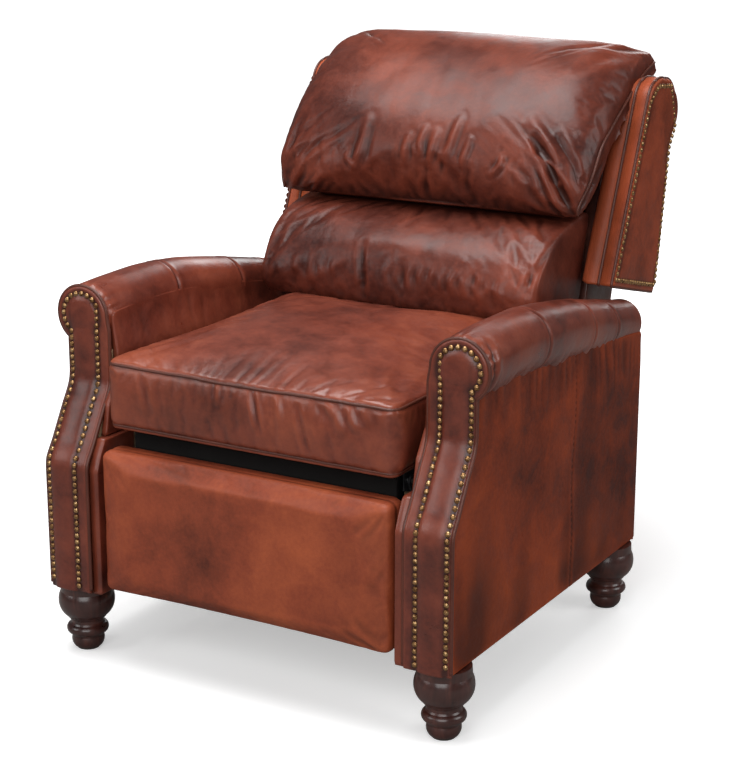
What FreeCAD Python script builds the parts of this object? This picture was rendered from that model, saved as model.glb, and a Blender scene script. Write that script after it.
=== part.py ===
import FreeCAD, Part
import math
import os
import Sketcher
from FreeCAD import Placement, Rotation, Vector

# A leather push-back recliner. Its seat rides forward on two pairs of swing links, its footrest
# is carried out by a lazy-tongs linkage on the seat rails, and its back hinges on the same rails.
# The part frame: +X towards the sitter's left hand, +Y to the rear, +Z up,
# with the origin on the floor under the middle of the chair. Outlines below count y from the front
# of the arms and z from the floor; each sub-part's Placement moves it back by half the depth.

doc = FreeCAD.newDocument("recliner")

# ---------------------------------------------------------------- driving dimensions, in mm

DIMENSIONS = {
    # arms
    "depth_middle": 483.6,
    "arm_bottom": 125,
    "arm_rear": 745,
    "arm_inner": 294,
    "arm_outer": 397,
    "board_top": 400,
    "board_thick": 18,
    "panel_thick": 8,
    "return_thick": 10,
    "inner_pad_face": 300,
    "inner_pad_thick": 13,
    "facing_inner": 312,
    "facing_thick": 10,
    "facing_knee": 350,
    "facing_setback": 76,
    "roll_edge": 416,
    "roll_height": 604,
    "facing_head_inset": 49,
    "facing_round": 51,
    # feet
    "foot_apart": 361,
    "foot_front": 52,
    "foot_back": 700,
    "glide_height": 4,
    "glide_radius": 20,
    # nails
    "nail_sphere": 5.5,
    "nail_lift": 0.8,
    "nail_pitch": 11.6,
    "nail_inner_row": 335,
    "nail_outer_row": 390,
    "nail_ring": 38,
    # chassis
    "stretcher_front": 160,
    "stretcher_depth": 55,
    "stretcher_thick": 20,
    "rear_rail_depth": 40,
    "rear_rail_top": 170,
    "rear_panel_top": 378,
    "base_plate_inner": 290,
    # swing links
    "swing_front": 340,
    "swing_back": 560,
    "swing_pin_height": 290,
    "swing_length": 60,
    "swing_lean": 50,
    "swing_inner": 280,
    # plates and pins of the mechanism
    "plate_thick": 4,
    "rail_inner": 258,
    "near_plane": 266,
    "far_plane": 272,
    "link_half": 11,
    "pin_radius": 4.95,
    "bore_radius": 5,
    "loose_bore": 6.4,
    "head_radius": 8,
    "head_thick": 2.5,
    # linkage pivots at rest
    "lift_y": 171.6,
    "lift_z": 374.0,
    "elbow_y": 277.9,
    "elbow_z": 202.1,
    "toe_y": 70.9,
    "toe_z": 282.8,
    "cross_y": 108.8,
    "cross_z": 400.7,
    "middle_y": 214.0,
    "middle_z": 227.0,
    "heel_y": 240.6,
    "heel_z": 183.1,
    "tie_y": 95.6,
    "tie_z": 234.8,
    "tube_radius": 10,
    "tube_bore": 10.05,
    # footrest
    "rest_half_width": 286,
    "rest_bottom": 134,
    "rest_top": 393,
    "rest_thick": 57,
    "rest_board_thick": 12,
    "rest_round": 14,
    # seat
    "seat_half_width": 282,
    "seat_front": 26,
    "seat_back": 602,
    "seat_bottom": 424,
    "seat_edge": 545,
    "seat_crown": 572,
    "seat_rail_top": 416,
    "wood_rail_bottom": 372,
    "wood_rail_top": 412,
    "wood_rail_front": 75,
    "wood_rail_depth": 24,
    "wood_rail_back": 604,
    "spring_wire": 1.9,
    "spring_pitch": 44,
    "spring_wave": 22,
    # back
    "hinge_y": 760,
    "hinge_z": 440,
    "back_lean": 15,
    "post_inner": 268,
    "post_outer": 290,
    "post_front": -70,
    "post_back": 44,
    "post_low": -27,
    "post_high": 528,
    "back_board_front": 32,
    "cover_thick": 10,
    "hinge_plate_inner": 264,
    # wings and pillows
    "wing_inner": 291,
    "wing_outer": 362,
    "wing_nail_margin": 14.3,
    "pillow_half": 288,
    "head_half": 310,
}

sheet = doc.addObject("Spreadsheet::Sheet", "Dims")
for row, (alias, number) in enumerate(DIMENSIONS.items(), 1):
    sheet.set(f"A{row}", alias)
    sheet.set(f"B{row}", str(number))
    sheet.setAlias(f"B{row}", alias)
doc.recompute()


class Size:
    """A length that carries its number and the sheet expression that gives it."""

    def __init__(self, number, text):
        self.number = number
        self.text = text

    def __add__(self, other):
        other = as_size(other)
        return Size(self.number + other.number, f"({self.text} + {other.text})")

    def __sub__(self, other):
        other = as_size(other)
        return Size(self.number - other.number, f"({self.text} - {other.text})")

    def __neg__(self):
        return Size(-self.number, f"(-1 * {self.text})")

    def times(self, factor):
        return Size(self.number * factor, f"({self.text} * {factor})")


def as_size(value):
    return value if isinstance(value, Size) else Size(value, f"({value})")


class Dimensions:
    """Reads the sheet: D.arm_rear is the Size of the cell with that alias."""

    def __getattr__(self, alias):
        return Size(float(sheet.get(alias)), f"Dims.{alias}")


D = Dimensions()
SIDES = (("left", 1), ("right", -1))
SUB_PARTS = []


# ---------------------------------------------------------------- ways to make a sub-part

def bind(thing, path, size):
    thing.setExpression(path, as_size(size).text)


def register(thing, label):
    """Name a finished sub-part and set it in the part frame."""
    thing.Label = label
    bind(thing, "Placement.Base.y", -D.depth_middle)
    SUB_PARTS.append(thing)
    return thing


def new_body(label):
    return register(doc.addObject("PartDesign::Body", label), label)


def new_sketch(body, role, offset):
    """A sketch on one of the body's origin planes, moved along that plane's normal."""
    sketch = body.newObject("Sketcher::SketchObject", f"{body.Name}_sketch")
    plane = next(f for f in body.Origin.OriginFeatures if f.Role == role)
    sketch.AttachmentSupport = [(plane, "")]
    sketch.MapMode = "FlatFace"
    bind(sketch, "AttachmentOffset.Base.z", offset)
    return sketch


def arc_between(start, end, radius):
    """The minor arc of a signed radius: positive turns left on the way from start to end."""
    chord = end - start
    half = chord.Length / 2
    rise = math.sqrt(max(radius * radius - half * half, 0))
    left = Vector(-chord.y, chord.x, 0).normalize()
    centre = (start + end) * 0.5 + left * math.copysign(rise, radius)
    first, last = (start, end) if radius > 0 else (end, start)
    angles = [math.atan2(p.y - centre.y, p.x - centre.x) for p in (first, last)]
    return Part.ArcOfCircle(Part.Circle(centre, Vector(0, 0, 1), abs(radius)), *angles)


def fix_point(sketch, geometry, end, across, up):
    """Hold one end of a sketch line at sizes counted from the sketch's origin."""
    for kind, size in (("DistanceX", as_size(across)), ("DistanceY", as_size(up))):
        index = sketch.addConstraint(Sketcher.Constraint(kind, -1, 1, geometry, end, size.number))
        bind(sketch, f"Constraints[{index}]", size)


def draw_outline(sketch, points):
    """A closed outline. A point is (across, up), reached by a line, or (across, up, radius),
    reached by an arc of that signed radius."""
    spots = [Vector(as_size(p[0]).number, as_size(p[1]).number, 0) for p in points]
    base = sketch.GeometryCount
    ends = []
    for i, point in enumerate(points):
        start, end = spots[i - 1], spots[i]
        if len(point) == 3:
            sketch.addGeometry(arc_between(start, end, point[2]), False)
            ends.append((1, 2) if point[2] > 0 else (2, 1))
        else:
            sketch.addGeometry(Part.LineSegment(start, end), False)
            ends.append((1, 2))
    for i in range(len(points)):
        sketch.addConstraint(Sketcher.Constraint(
            "Coincident", base + i - 1 if i else base + len(points) - 1, ends[i - 1][1],
            base + i, ends[i][0]))
    for i, point in enumerate(points):
        fix_point(sketch, base + i, ends[i][1], point[0], point[1])
        if len(point) == 3:
            sketch.addConstraint(Sketcher.Constraint("Radius", base + i, abs(point[2])))


def draw_circle(sketch, across, up, radius):
    spot = Vector(as_size(across).number, as_size(up).number, 0)
    circle = sketch.addGeometry(
        Part.Circle(spot, Vector(0, 0, 1), as_size(radius).number), False)
    fix_point(sketch, circle, 3, across, up)
    index = sketch.addConstraint(
        Sketcher.Constraint("Radius", circle, as_size(radius).number))
    bind(sketch, f"Constraints[{index}]", radius)


def draw_slot(sketch, first, last, radius):
    """A link's outline: two parallel sides and a round end about each outer pivot."""
    one, two = [Vector(p[0].number, p[1].number, 0) for p in (first, last)]
    reach = radius.number
    along = (two - one).normalize()
    side = Vector(-along.y, along.x, 0) * reach
    turn = math.atan2(side.y, side.x)
    base = sketch.GeometryCount
    sketch.addGeometry([
        Part.LineSegment(two + side, one + side),
        Part.ArcOfCircle(Part.Circle(one, Vector(0, 0, 1), reach), turn, turn + math.pi),
        Part.LineSegment(one - side, two - side),
        Part.ArcOfCircle(Part.Circle(two, Vector(0, 0, 1), reach), turn + math.pi,
                         turn + 2 * math.pi),
    ], False)
    for i in range(4):
        sketch.addConstraint(Sketcher.Constraint(
            "Tangent", base + i, 2, base + (i + 1) % 4, 1))
    sketch.addConstraint(Sketcher.Constraint("Equal", base + 1, base + 3))
    fix_point(sketch, base + 1, 3, *first)
    fix_point(sketch, base + 3, 3, *last)
    index = sketch.addConstraint(Sketcher.Constraint("Radius", base + 1, reach))
    bind(sketch, f"Constraints[{index}]", radius)


def pad(body, sketch, length):
    feature = body.newObject("PartDesign::Pad", f"{body.Name}_pad")
    feature.Profile = sketch
    bind(feature, "Length", length)
    sketch.Visibility = False
    return feature


def cut_towards_minus_x(body, points, side, inner, outer):
    """Cut a side-view outline right through a piece that lies between two X faces."""
    before = solid_of(body).Volume
    high = outer if side > 0 else -inner
    sketch = new_sketch(body, "YZ_Plane", high + 1)
    draw_outline(sketch, points)
    feature = body.newObject("PartDesign::Pocket", f"{body.Name}_pocket")
    feature.Profile = sketch
    bind(feature, "Length", outer - inner + 2)
    after = solid_of(body).Volume
    if after >= before:
        raise RuntimeError(f"{body.Label}: a pocket removed nothing")
    return feature


def solid_of(body):
    doc.recompute()
    return body.Shape


def round_edges(body, feature, radius, chosen):
    """Round the feature's edges that the chosen() test picks."""
    doc.recompute()
    names = [f"Edge{i}" for i, edge in enumerate(feature.Shape.Edges, 1) if chosen(edge)]
    fillet = body.newObject("PartDesign::Fillet", f"{body.Name}_round")
    fillet.Base = (feature, names)
    bind(fillet, "Radius", radius)
    return fillet


def side_range(side, inner, outer):
    """The low X face of a piece that is mirrored onto each side of the chair."""
    return inner if side > 0 else -outer


def side_plate(label, side, inner, outer, points, bores=()):
    """A piece drawn in side view and thick along X, on one side of the chair."""
    body = new_body(label)
    sketch = new_sketch(body, "YZ_Plane", side_range(side, inner, outer))
    draw_outline(sketch, points)
    for across, up, radius in bores:
        draw_circle(sketch, across, up, radius)
    pad(body, sketch, outer - inner)
    return body


def cross_piece(label, half_width, points):
    """A piece drawn in side view that runs across the chair."""
    body = new_body(label)
    sketch = new_sketch(body, "YZ_Plane", -half_width)
    draw_outline(sketch, points)
    return body, pad(body, sketch, half_width + half_width)


def rectangle(low_y, high_y, low_z, high_z):
    return [(low_y, low_z), (high_y, low_z), (high_y, high_z), (low_y, high_z)]


def link_plate(name, side, plane, first, last, bores):
    body = doc.addObject("PartDesign::Body", name)
    outer = plane + D.plate_thick
    sketch = new_sketch(body, "YZ_Plane", side_range(side, plane, outer))
    draw_slot(sketch, first, last, D.link_half)
    for across, up, radius in bores:
        draw_circle(sketch, across, up, radius)
    pad(body, sketch, D.plate_thick)
    return body


def group(label, members):
    """Several separate solids that share one sub-part."""
    compound = doc.addObject("Part::Compound", label)
    compound.Links = members
    return register(compound, label)


def pin(name, side, inner, outer, spot, head_outside=True):
    """A shouldered rivet along X, from an inner to an outer face, with a head past one end."""
    pieces = []
    if head_outside:
        head_inner, head_outer = outer, outer + D.head_thick
    else:
        head_inner, head_outer = inner - D.head_thick, inner
    for kind, low, high, radius in (("shank", inner, outer, D.pin_radius),
                                    ("head", head_inner, head_outer, D.head_radius)):
        cylinder = doc.addObject("Part::Cylinder", f"{name}_{kind}")
        bind(cylinder, "Radius", radius)
        bind(cylinder, "Height", high - low)
        cylinder.Placement = Placement(Vector(), Rotation(Vector(0, 1, 0), 90))
        bind(cylinder, "Placement.Base.x", side_range(side, low, high))
        bind(cylinder, "Placement.Base.y", spot[0])
        bind(cylinder, "Placement.Base.z", spot[1])
        pieces.append(cylinder)
    rivet = doc.addObject("Part::Fuse", name)
    rivet.Base, rivet.Tool = pieces
    return rivet


# ---------------------------------------------------------------- arms

def facing_curve(shift):
    """The arm front in side view, from the floor end up: upright, a lean back, upright again."""
    return [
        (as_size(shift), D.arm_bottom),
        (as_size(shift), D.facing_knee),
        (as_size(shift) + 14, D.facing_knee + 30, -36),
        (as_size(shift) + 60, D.facing_knee + 112),
        (D.facing_setback + shift, D.facing_knee + 155, 60),
    ]


def arm_facing(side_name, side):
    """The keyhole-shaped front of the arm: a straight leg under a round head, bent in side view."""
    body = new_body(f"arm_facing_{side_name}")
    roll_centre = D.roll_edge - D.facing_head_inset
    leg = new_sketch(body, "XZ_Plane", -(D.facing_setback + D.facing_thick))
    low, high = (D.facing_inner, D.arm_outer) if side > 0 else (-D.arm_outer, -D.facing_inner)
    draw_outline(leg, rectangle(low, high, D.arm_bottom, D.roll_height - 24))
    pad(body, leg, D.facing_setback + D.facing_thick)
    head = new_sketch(body, "XZ_Plane", -(D.facing_setback + D.facing_thick))
    draw_circle(head, roll_centre if side > 0 else -roll_centre, D.roll_height, D.facing_round)
    pad(body, head, D.facing_setback + D.facing_thick)
    above = D.roll_height + D.facing_round + 5
    inner, outer = D.facing_inner - 20, D.arm_outer + 30
    below = D.arm_bottom - 5
    front = [(-5, below), (0, below)] + facing_curve(0)[1:]
    front += [(D.facing_setback, above), (-5, above)]
    cut_towards_minus_x(body, front, side, inner, outer)
    thick = D.facing_thick
    rear = [(thick, below)] + facing_curve(thick)[1:] + [(D.facing_setback + thick, above)]
    rear += [(D.facing_setback + thick + 5, above), (D.facing_setback + thick + 5, below)]
    cut_towards_minus_x(body, rear, side, inner, outer)
    return body


def arm_roll(side_name, side):
    """The padded roll: round sections that swell a little, then fall towards the rear."""
    body = new_body(f"arm_roll_{side_name}")
    sections = [(D.facing_setback + D.facing_thick + 1, 604, 50), (as_size(300), 606, 51),
                (as_size(520), 580, 50.5), (D.arm_rear, 543, 49)]
    sketches = []
    for depth, height, radius in sections:
        sketch = new_sketch(body, "XZ_Plane", -depth)
        centre = D.roll_edge - radius
        draw_circle(sketch, centre if side > 0 else -centre, height, radius)
        sketches.append(sketch)
    loft = body.newObject("PartDesign::AdditiveLoft", f"{body.Name}_loft")
    loft.Profile = sketches[0]
    loft.Sections = sketches[1:]


def arm_outer_panel(side_name, side):
    """The side cover over its board, which turns the rear corner and closes the arm's back."""
    front_gap = D.facing_thick + 0.5
    outline = facing_curve(front_gap) + [
        (D.facing_setback + front_gap, 552),
        (D.arm_rear, 494),
        (D.arm_rear, D.arm_bottom),
    ]
    inner = D.arm_outer - D.panel_thick
    body = side_plate(f"arm_outer_panel_{side_name}", side, inner, D.arm_outer, outline)
    turn = new_sketch(body, "YZ_Plane", side_range(side, D.inner_pad_face, inner))
    draw_outline(turn, rectangle(D.arm_rear - D.return_thick, D.arm_rear, D.arm_bottom, 490))
    pad(body, turn, inner - D.inner_pad_face)


def arm_board(side_name, side):
    """The plywood side that carries the mechanism."""
    rear = D.arm_rear - D.return_thick
    side_plate(f"arm_board_{side_name}", side, D.arm_inner, D.arm_inner + D.board_thick, [
        (11, D.arm_bottom), (rear, D.arm_bottom), (rear, D.board_top),
        (38, D.board_top), (24, D.facing_knee + 26), (11, D.facing_knee)])


def arm_post(side_name, side):
    """The hardwood post behind the facing, which takes the front foot."""
    front_gap = D.facing_thick + 0.5
    side_plate(f"arm_post_{side_name}", side, D.arm_inner + D.board_thick + 2,
               D.arm_outer - D.panel_thick - 2,
               facing_curve(front_gap) + [
                   (D.facing_setback + front_gap, 546), (126, 546), (126, 500),
                   (60, D.facing_knee), (60, D.arm_bottom)])


def arm_inner_panel(side_name, side):
    """The padded inside of the arm, above the board and under the roll."""
    side_plate(f"arm_inner_panel_{side_name}", side, D.inner_pad_face,
               D.inner_pad_face + D.inner_pad_thick, [
                   (44, D.board_top + 3), (D.arm_rear - 11, D.board_top + 3),
                   (D.arm_rear - 11, 538), (90, 594), (90, 500), (75, 455)])


def first_hit(shape, across, height):
    """How far back a straight line towards the rear first meets a shape."""
    line = Part.makeLine(Vector(across, -50, height), Vector(across, 200, height))
    return min(vertex.Y for vertex in line.common(shape).Vertexes)


def seat_on_facing(shape, across, height):
    """Where a nail stands on the face of the arm front, and the way it points."""
    step = 4
    depths = [first_hit(shape, across, height + shift) for shift in (-step, 0, step)]
    rise = Vector(0, depths[2] - depths[0], 2 * step)
    outward = Vector(0, -rise.z, rise.y).normalize()
    return Vector(across, depths[1], height) + outward * D.nail_lift.number, outward


def dome(spot, direction):
    """A nail's head: the cap of a sphere, flat side down on the leather."""
    low_latitude = 28
    radius = D.nail_sphere.number
    sunk = radius * math.sin(math.radians(low_latitude))
    centre = spot - direction * sunk
    return Part.makeSphere(radius, centre, direction, low_latitude, 90, 360)


def facing_nails(side_name, side, facing):
    """Brass nails up one edge of the facing, round its head and down the other edge."""
    face = solid_of(facing).translated(Vector(0, D.depth_middle.number, 0))
    pitch = D.nail_pitch.number
    centre_x = D.roll_edge.number - D.facing_head_inset.number
    top = D.roll_height.number
    spots = []
    for row, joins_at in ((D.nail_inner_row.number, 1), (D.nail_outer_row.number, -1)):
        reach = abs(row - centre_x)
        upper = top + joins_at * math.sqrt(D.nail_ring.number ** 2 - reach ** 2)
        count = int((upper - D.arm_bottom.number - 8) // pitch)
        spots += [(row, upper - pitch * (i + 1)) for i in range(count)]
    start = math.degrees(math.acos((D.nail_inner_row.number - centre_x) / D.nail_ring.number))
    end = math.degrees(math.acos((D.nail_outer_row.number - centre_x) / D.nail_ring.number))
    sweep = start + end
    steps = round(math.radians(sweep) * D.nail_ring.number / pitch)
    for i in range(steps + 1):
        angle = math.radians(-end + sweep * i / steps)
        spots.append((centre_x + D.nail_ring.number * math.cos(angle),
                      top + D.nail_ring.number * math.sin(angle)))
    heads = [dome(*seat_on_facing(face, side * across, height)) for across, height in spots]
    node = doc.addObject("Part::Feature", f"facing_nails_{side_name}")
    node.Shape = Part.makeCompound(heads)
    register(node, f"facing_nails_{side_name}")


for side_name, side in SIDES:
    arm_board(side_name, side)
    arm_post(side_name, side)
    arm_outer_panel(side_name, side)
    arm_inner_panel(side_name, side)
    arm_roll(side_name, side)
    facing_nails(side_name, side, arm_facing(side_name, side))


# ---------------------------------------------------------------- feet and chassis rails

def foot(label, across, depth):
    """A turned bun foot: toe, ring, neck and a wide shoulder under the frame."""
    body = new_body(label)
    sketch = new_sketch(body, "XZ_Plane", 0)
    low = D.glide_height
    draw_outline(sketch, [
        (0, low), (24, low), (28, low + 20, 20), (31, low + 25), (31, low + 43, 9.6),
        (29, low + 46), (29, low + 52), (35, low + 58, 9), (50, low + 88, 36.6),
        (45.7, low + 106, 40), (45, D.arm_bottom), (0, D.arm_bottom)])
    turned = body.newObject("PartDesign::Revolution", f"{body.Name}_turned")
    turned.Profile = sketch
    turned.ReferenceAxis = (sketch, ["V_Axis"])
    turned.Angle = 360
    bind(body, "Placement.Base.x", across)
    bind(body, "Placement.Base.y", depth - D.depth_middle)


def glide(name, across, depth):
    disc = doc.addObject("Part::Cylinder", name)
    bind(disc, "Radius", D.glide_radius)
    bind(disc, "Height", D.glide_height)
    bind(disc, "Placement.Base.x", across)
    bind(disc, "Placement.Base.y", depth)
    return disc


glides = []
for side_name, side in SIDES:
    for end_name, depth in (("front", D.foot_front), ("rear", D.foot_back)):
        across = D.foot_apart.times(side)
        foot(f"foot_{end_name}_{side_name}", across, depth)
        glides.append(glide(f"glide_{end_name}_{side_name}", across, depth))
group("foot_glides", glides)

inside = D.arm_inner
cross_piece("front_stretcher", inside, rectangle(
    D.stretcher_front, D.stretcher_front + D.stretcher_depth,
    D.arm_bottom, D.arm_bottom + D.stretcher_thick))
panel_front = D.arm_rear - D.return_thick
cross_piece("rear_stretcher", inside, rectangle(
    panel_front - D.rear_rail_depth, panel_front, D.arm_bottom, D.rear_rail_top))
cross_piece("rear_lower_panel", D.inner_pad_face, rectangle(
    panel_front, D.arm_rear, D.arm_bottom, D.rear_panel_top))


# ---------------------------------------------------------------- base plates and swing links

def swing_top(bottom_y):
    """The upper pivot of a swing link that leans back from its lower pivot."""
    lean = f"{D.swing_lean.text} * 1 deg"
    angle = math.radians(D.swing_lean.number)
    reach = D.swing_length
    across = Size(bottom_y.number + reach.number * math.cos(angle),
                  f"({bottom_y.text} + {reach.text} * cos({lean}))")
    up = Size(D.swing_pin_height.number + reach.number * math.sin(angle),
              f"({D.swing_pin_height.text} + {reach.text} * sin({lean}))")
    return across, up


swing_feet = {end: (depth, D.swing_pin_height)
              for end, depth in (("front", D.swing_front), ("rear", D.swing_back))}
swing_tops = {end: swing_top(spot[0]) for end, spot in swing_feet.items()}

base_pins = []
for side_name, side in SIDES:
    side_plate(f"base_plate_{side_name}", side, D.base_plate_inner, D.arm_inner,
               rectangle(D.swing_front - 40, D.swing_back + 40,
                         D.swing_pin_height - 28, D.swing_pin_height + 26),
               [(*spot, D.bore_radius) for spot in swing_feet.values()])
    for end, spot in swing_feet.items():
        base_pins.append(pin(f"base_pin_{end}_{side_name}", side, D.swing_inner - 0.5,
                             D.arm_inner - 0.5, spot, head_outside=False))
group("base_pins", base_pins)

for end in swing_feet:
    ends = [swing_feet[end], swing_tops[end]]
    top_bore = D.bore_radius if end == "front" else D.bore_radius + 0.3
    group(f"{end}_swing_links", [
        link_plate(f"{end}_swing_{side_name}", side, D.swing_inner, *ends,
                   [(*ends[0], D.bore_radius), (*ends[1], top_bore)])
        for side_name, side in SIDES])


# ---------------------------------------------------------------- seat

lift_pivot = (D.lift_y, D.lift_z)
elbow_pivot = (D.elbow_y, D.elbow_z)
toe_pivot = (D.toe_y, D.toe_z)
cross_pivot = (D.cross_y, D.cross_z)
middle_pivot = (D.middle_y, D.middle_z)
heel_pivot = (D.heel_y, D.heel_z)
tie_pivot = (D.tie_y, D.tie_z)
back_pivot = (D.hinge_y, D.hinge_z)

rail_outer = D.rail_inner + D.plate_thick
seat_pins = []
for side_name, side in SIDES:
    side_plate(f"seat_rail_{side_name}", side, D.rail_inner, rail_outer, [
        (94, 386), (190, 356), (352, 320), (650, 320), (D.hinge_y + 18, D.hinge_z - 18),
        (D.hinge_y + 18, D.hinge_z + 18), (D.hinge_y - 30, D.hinge_z + 18),
        (650, D.seat_rail_top), (94, D.seat_rail_top)],
        [(*lift_pivot, D.tube_bore), (*cross_pivot, D.bore_radius),
         (*swing_tops["front"], D.bore_radius), (*swing_tops["rear"], D.bore_radius),
         (*back_pivot, D.bore_radius)])
    near_outer = D.near_plane + D.plate_thick
    for name, spot, reach in (("cross", cross_pivot, near_outer + 0.5),
                              ("swing_front", swing_tops["front"], D.swing_inner + 4.5),
                              ("swing_rear", swing_tops["rear"], D.swing_inner + 4.5),
                              ("back", back_pivot, D.post_inner - 0.5)):
        seat_pins.append(pin(f"seat_pin_{name}_{side_name}", side, D.rail_inner, reach, spot,
                             head_outside=False))
group("seat_pins", seat_pins)

for label, front in (("seat_front_rail", D.wood_rail_front), ("seat_rear_rail", D.wood_rail_back)):
    cross_piece(label, D.rail_inner, rectangle(
        front, front + D.wood_rail_depth, D.wood_rail_bottom, D.wood_rail_top))


def zigzag_wire(across):
    """One flat sinuous spring, from the front rail to the rear rail."""
    height = D.wood_rail_top.number + D.spring_wire.number + 0.5
    start = D.wood_rail_front.number + 8
    end = D.wood_rail_back.number + D.wood_rail_depth.number - 8
    pitch = D.spring_pitch.number / 2
    count = int((end - start) // pitch)
    wave = D.spring_wave.number
    bend = pitch / 2
    edges = []
    spot = Vector(across - wave, start, height)
    for i in range(count):
        towards = 1 if i % 2 == 0 else -1
        after = Vector(across + towards * wave, spot.y, height)
        edges.append(Part.LineSegment(spot, after).toShape())
        if i == count - 1:
            break
        turn = Vector(after.x + towards * bend, after.y + bend, height)
        spot = Vector(after.x, after.y + pitch, height)
        edges.append(Part.Arc(after, turn, spot).toShape())
    path = Part.Wire(edges)
    first = Part.Circle(Vector(across - wave, start, height), Vector(1, 0, 0),
                        D.spring_wire.number)
    return path.makePipeShell([Part.Wire(first.toShape())], True, False)


springs = doc.addObject("Part::Feature", "seat_springs")
springs.Shape = Part.makeCompound([zigzag_wire(across) for across in (-180, -90, 0, 90, 180)])
register(springs, "seat_springs")

cushion, block = cross_piece("seat_cushion", D.seat_half_width, [
    (D.seat_front, D.seat_bottom), (D.seat_back, D.seat_bottom),
    (D.seat_back, D.seat_edge - 10), (480, D.seat_crown - 8), (330, D.seat_crown),
    (170, D.seat_crown - 6), (D.seat_front + 22, D.seat_edge),
    (D.seat_front, D.seat_edge - 16)])
round_edges(cushion, block, 8, lambda edge: abs(edge.BoundBox.XMin) == abs(edge.BoundBox.XMax)
            and edge.BoundBox.XLength < 1)


# ---------------------------------------------------------------- footrest and its linkage

rest_pad, rest_block = cross_piece("footrest_pad", D.rest_half_width, rectangle(
    as_size(0), D.rest_thick, D.rest_bottom, D.rest_top))
round_edges(rest_pad, rest_block, D.rest_round, lambda edge: edge.BoundBox.YMax < 1)
board_back = D.rest_thick + D.rest_board_thick
cross_piece("footrest_board", D.near_plane, rectangle(
    D.rest_thick, board_back, D.rest_bottom + 8, D.rest_top - 10))

far_pins = {"lift_link_pins": [], "cross_link_pins": [], "footrest_pins": []}
fronts = []
ties = []
for side_name, side in SIDES:
    register(link_plate(f"lift_link_{side_name}", side, D.near_plane, lift_pivot, elbow_pivot,
                        [(*elbow_pivot, D.bore_radius), (*lift_pivot, D.tube_bore)]),
             f"lift_link_{side_name}")
    register(link_plate(f"cross_link_{side_name}", side, D.near_plane, cross_pivot, heel_pivot,
                        [(*cross_pivot, D.bore_radius), (*middle_pivot, D.bore_radius),
                         (*heel_pivot, D.bore_radius)]),
             f"cross_link_{side_name}")
    fronts.append(link_plate(f"front_link_{side_name}", side, D.far_plane, elbow_pivot, toe_pivot,
                             [(*elbow_pivot, D.bore_radius), (*middle_pivot, D.loose_bore),
                              (*toe_pivot, D.bore_radius)]))
    ties.append(link_plate(f"tie_link_{side_name}", side, D.far_plane, heel_pivot, tie_pivot,
                           [(*heel_pivot, D.loose_bore), (*tie_pivot, D.bore_radius)]))
    side_plate(f"footrest_bracket_{side_name}", side, D.near_plane, D.near_plane + D.plate_thick, [
        (D.rest_thick + 1, D.tie_z - 26), (D.tie_y - 6, D.tie_z - 14),
        (D.tie_y + 10, D.tie_z - 6, 13), (D.tie_y + 9, D.tie_z + 10, 13),
        (D.toe_y + 12, D.toe_z + 16), (D.rest_thick + 1, D.toe_z + 36)],
        [(*toe_pivot, D.bore_radius), (*tie_pivot, D.bore_radius)])
    far_outer = D.far_plane + D.plate_thick + 0.5
    for node, name, spot in (("lift_link_pins", "elbow", elbow_pivot),
                             ("cross_link_pins", "middle", middle_pivot),
                             ("cross_link_pins", "heel", heel_pivot),
                             ("footrest_pins", "toe", toe_pivot),
                             ("footrest_pins", "tie", tie_pivot)):
        far_pins[node].append(pin(f"{name}_pin_{side_name}", side, D.near_plane, far_outer, spot))
group("front_links", fronts)
group("tie_links", ties)
for label, pins in far_pins.items():
    group(label, pins)

tube = doc.addObject("Part::Cylinder", "drive_tube")
tube_half = D.near_plane + D.plate_thick
bind(tube, "Radius", D.tube_radius)
bind(tube, "Height", tube_half + tube_half)
tube.Placement = Placement(Vector(), Rotation(Vector(0, 1, 0), 90))
bind(tube, "Placement.Base.x", -tube_half)
bind(tube, "Placement.Base.z", D.lift_z)
register(tube, "drive_tube")
bind(tube, "Placement.Base.y", D.lift_y - D.depth_middle)


# ---------------------------------------------------------------- back

def lean_back(body):
    """Stand a piece drawn upright about the back's hinge at the back's own lean."""
    body.Placement = Placement(Vector(), Rotation(Vector(1, 0, 0), -D.back_lean.number))
    bind(body, "Placement.Rotation.Angle", D.back_lean)
    body.setExpression("Placement.Rotation.Axis.x", "-1")
    bind(body, "Placement.Base.y", D.hinge_y - D.depth_middle)
    bind(body, "Placement.Base.z", D.hinge_z)


board, _ = cross_piece("back_board", D.post_inner, rectangle(
    D.back_board_front, D.post_back, D.post_low + 6, D.post_high))
lean_back(board)
cover, _ = cross_piece("back_outer_panel", D.post_outer, rectangle(
    D.post_back, D.post_back + D.cover_thick, D.post_low, D.post_high + 8))
lean_back(cover)
for side_name, side in SIDES:
    lean_back(side_plate(f"back_post_{side_name}", side, D.post_inner, D.post_outer, rectangle(
        D.post_front, D.post_back, D.post_low, D.post_high)))
    lean_back(side_plate(
        f"back_bracket_{side_name}", side, D.hinge_plate_inner, D.post_inner,
        rectangle(as_size(-60), as_size(30), as_size(-25), as_size(70)),
        [(0, 0, D.bore_radius)]))

# The wing in side view: a leaning front edge, a low sill over the arm and a round, flared top.
WING_OUTLINE = [(686, 618), (884, 570), (940, 848), (964, 884, -60), (932, 966, 58),
                (866, 973), (824, 946, 46)]


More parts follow.
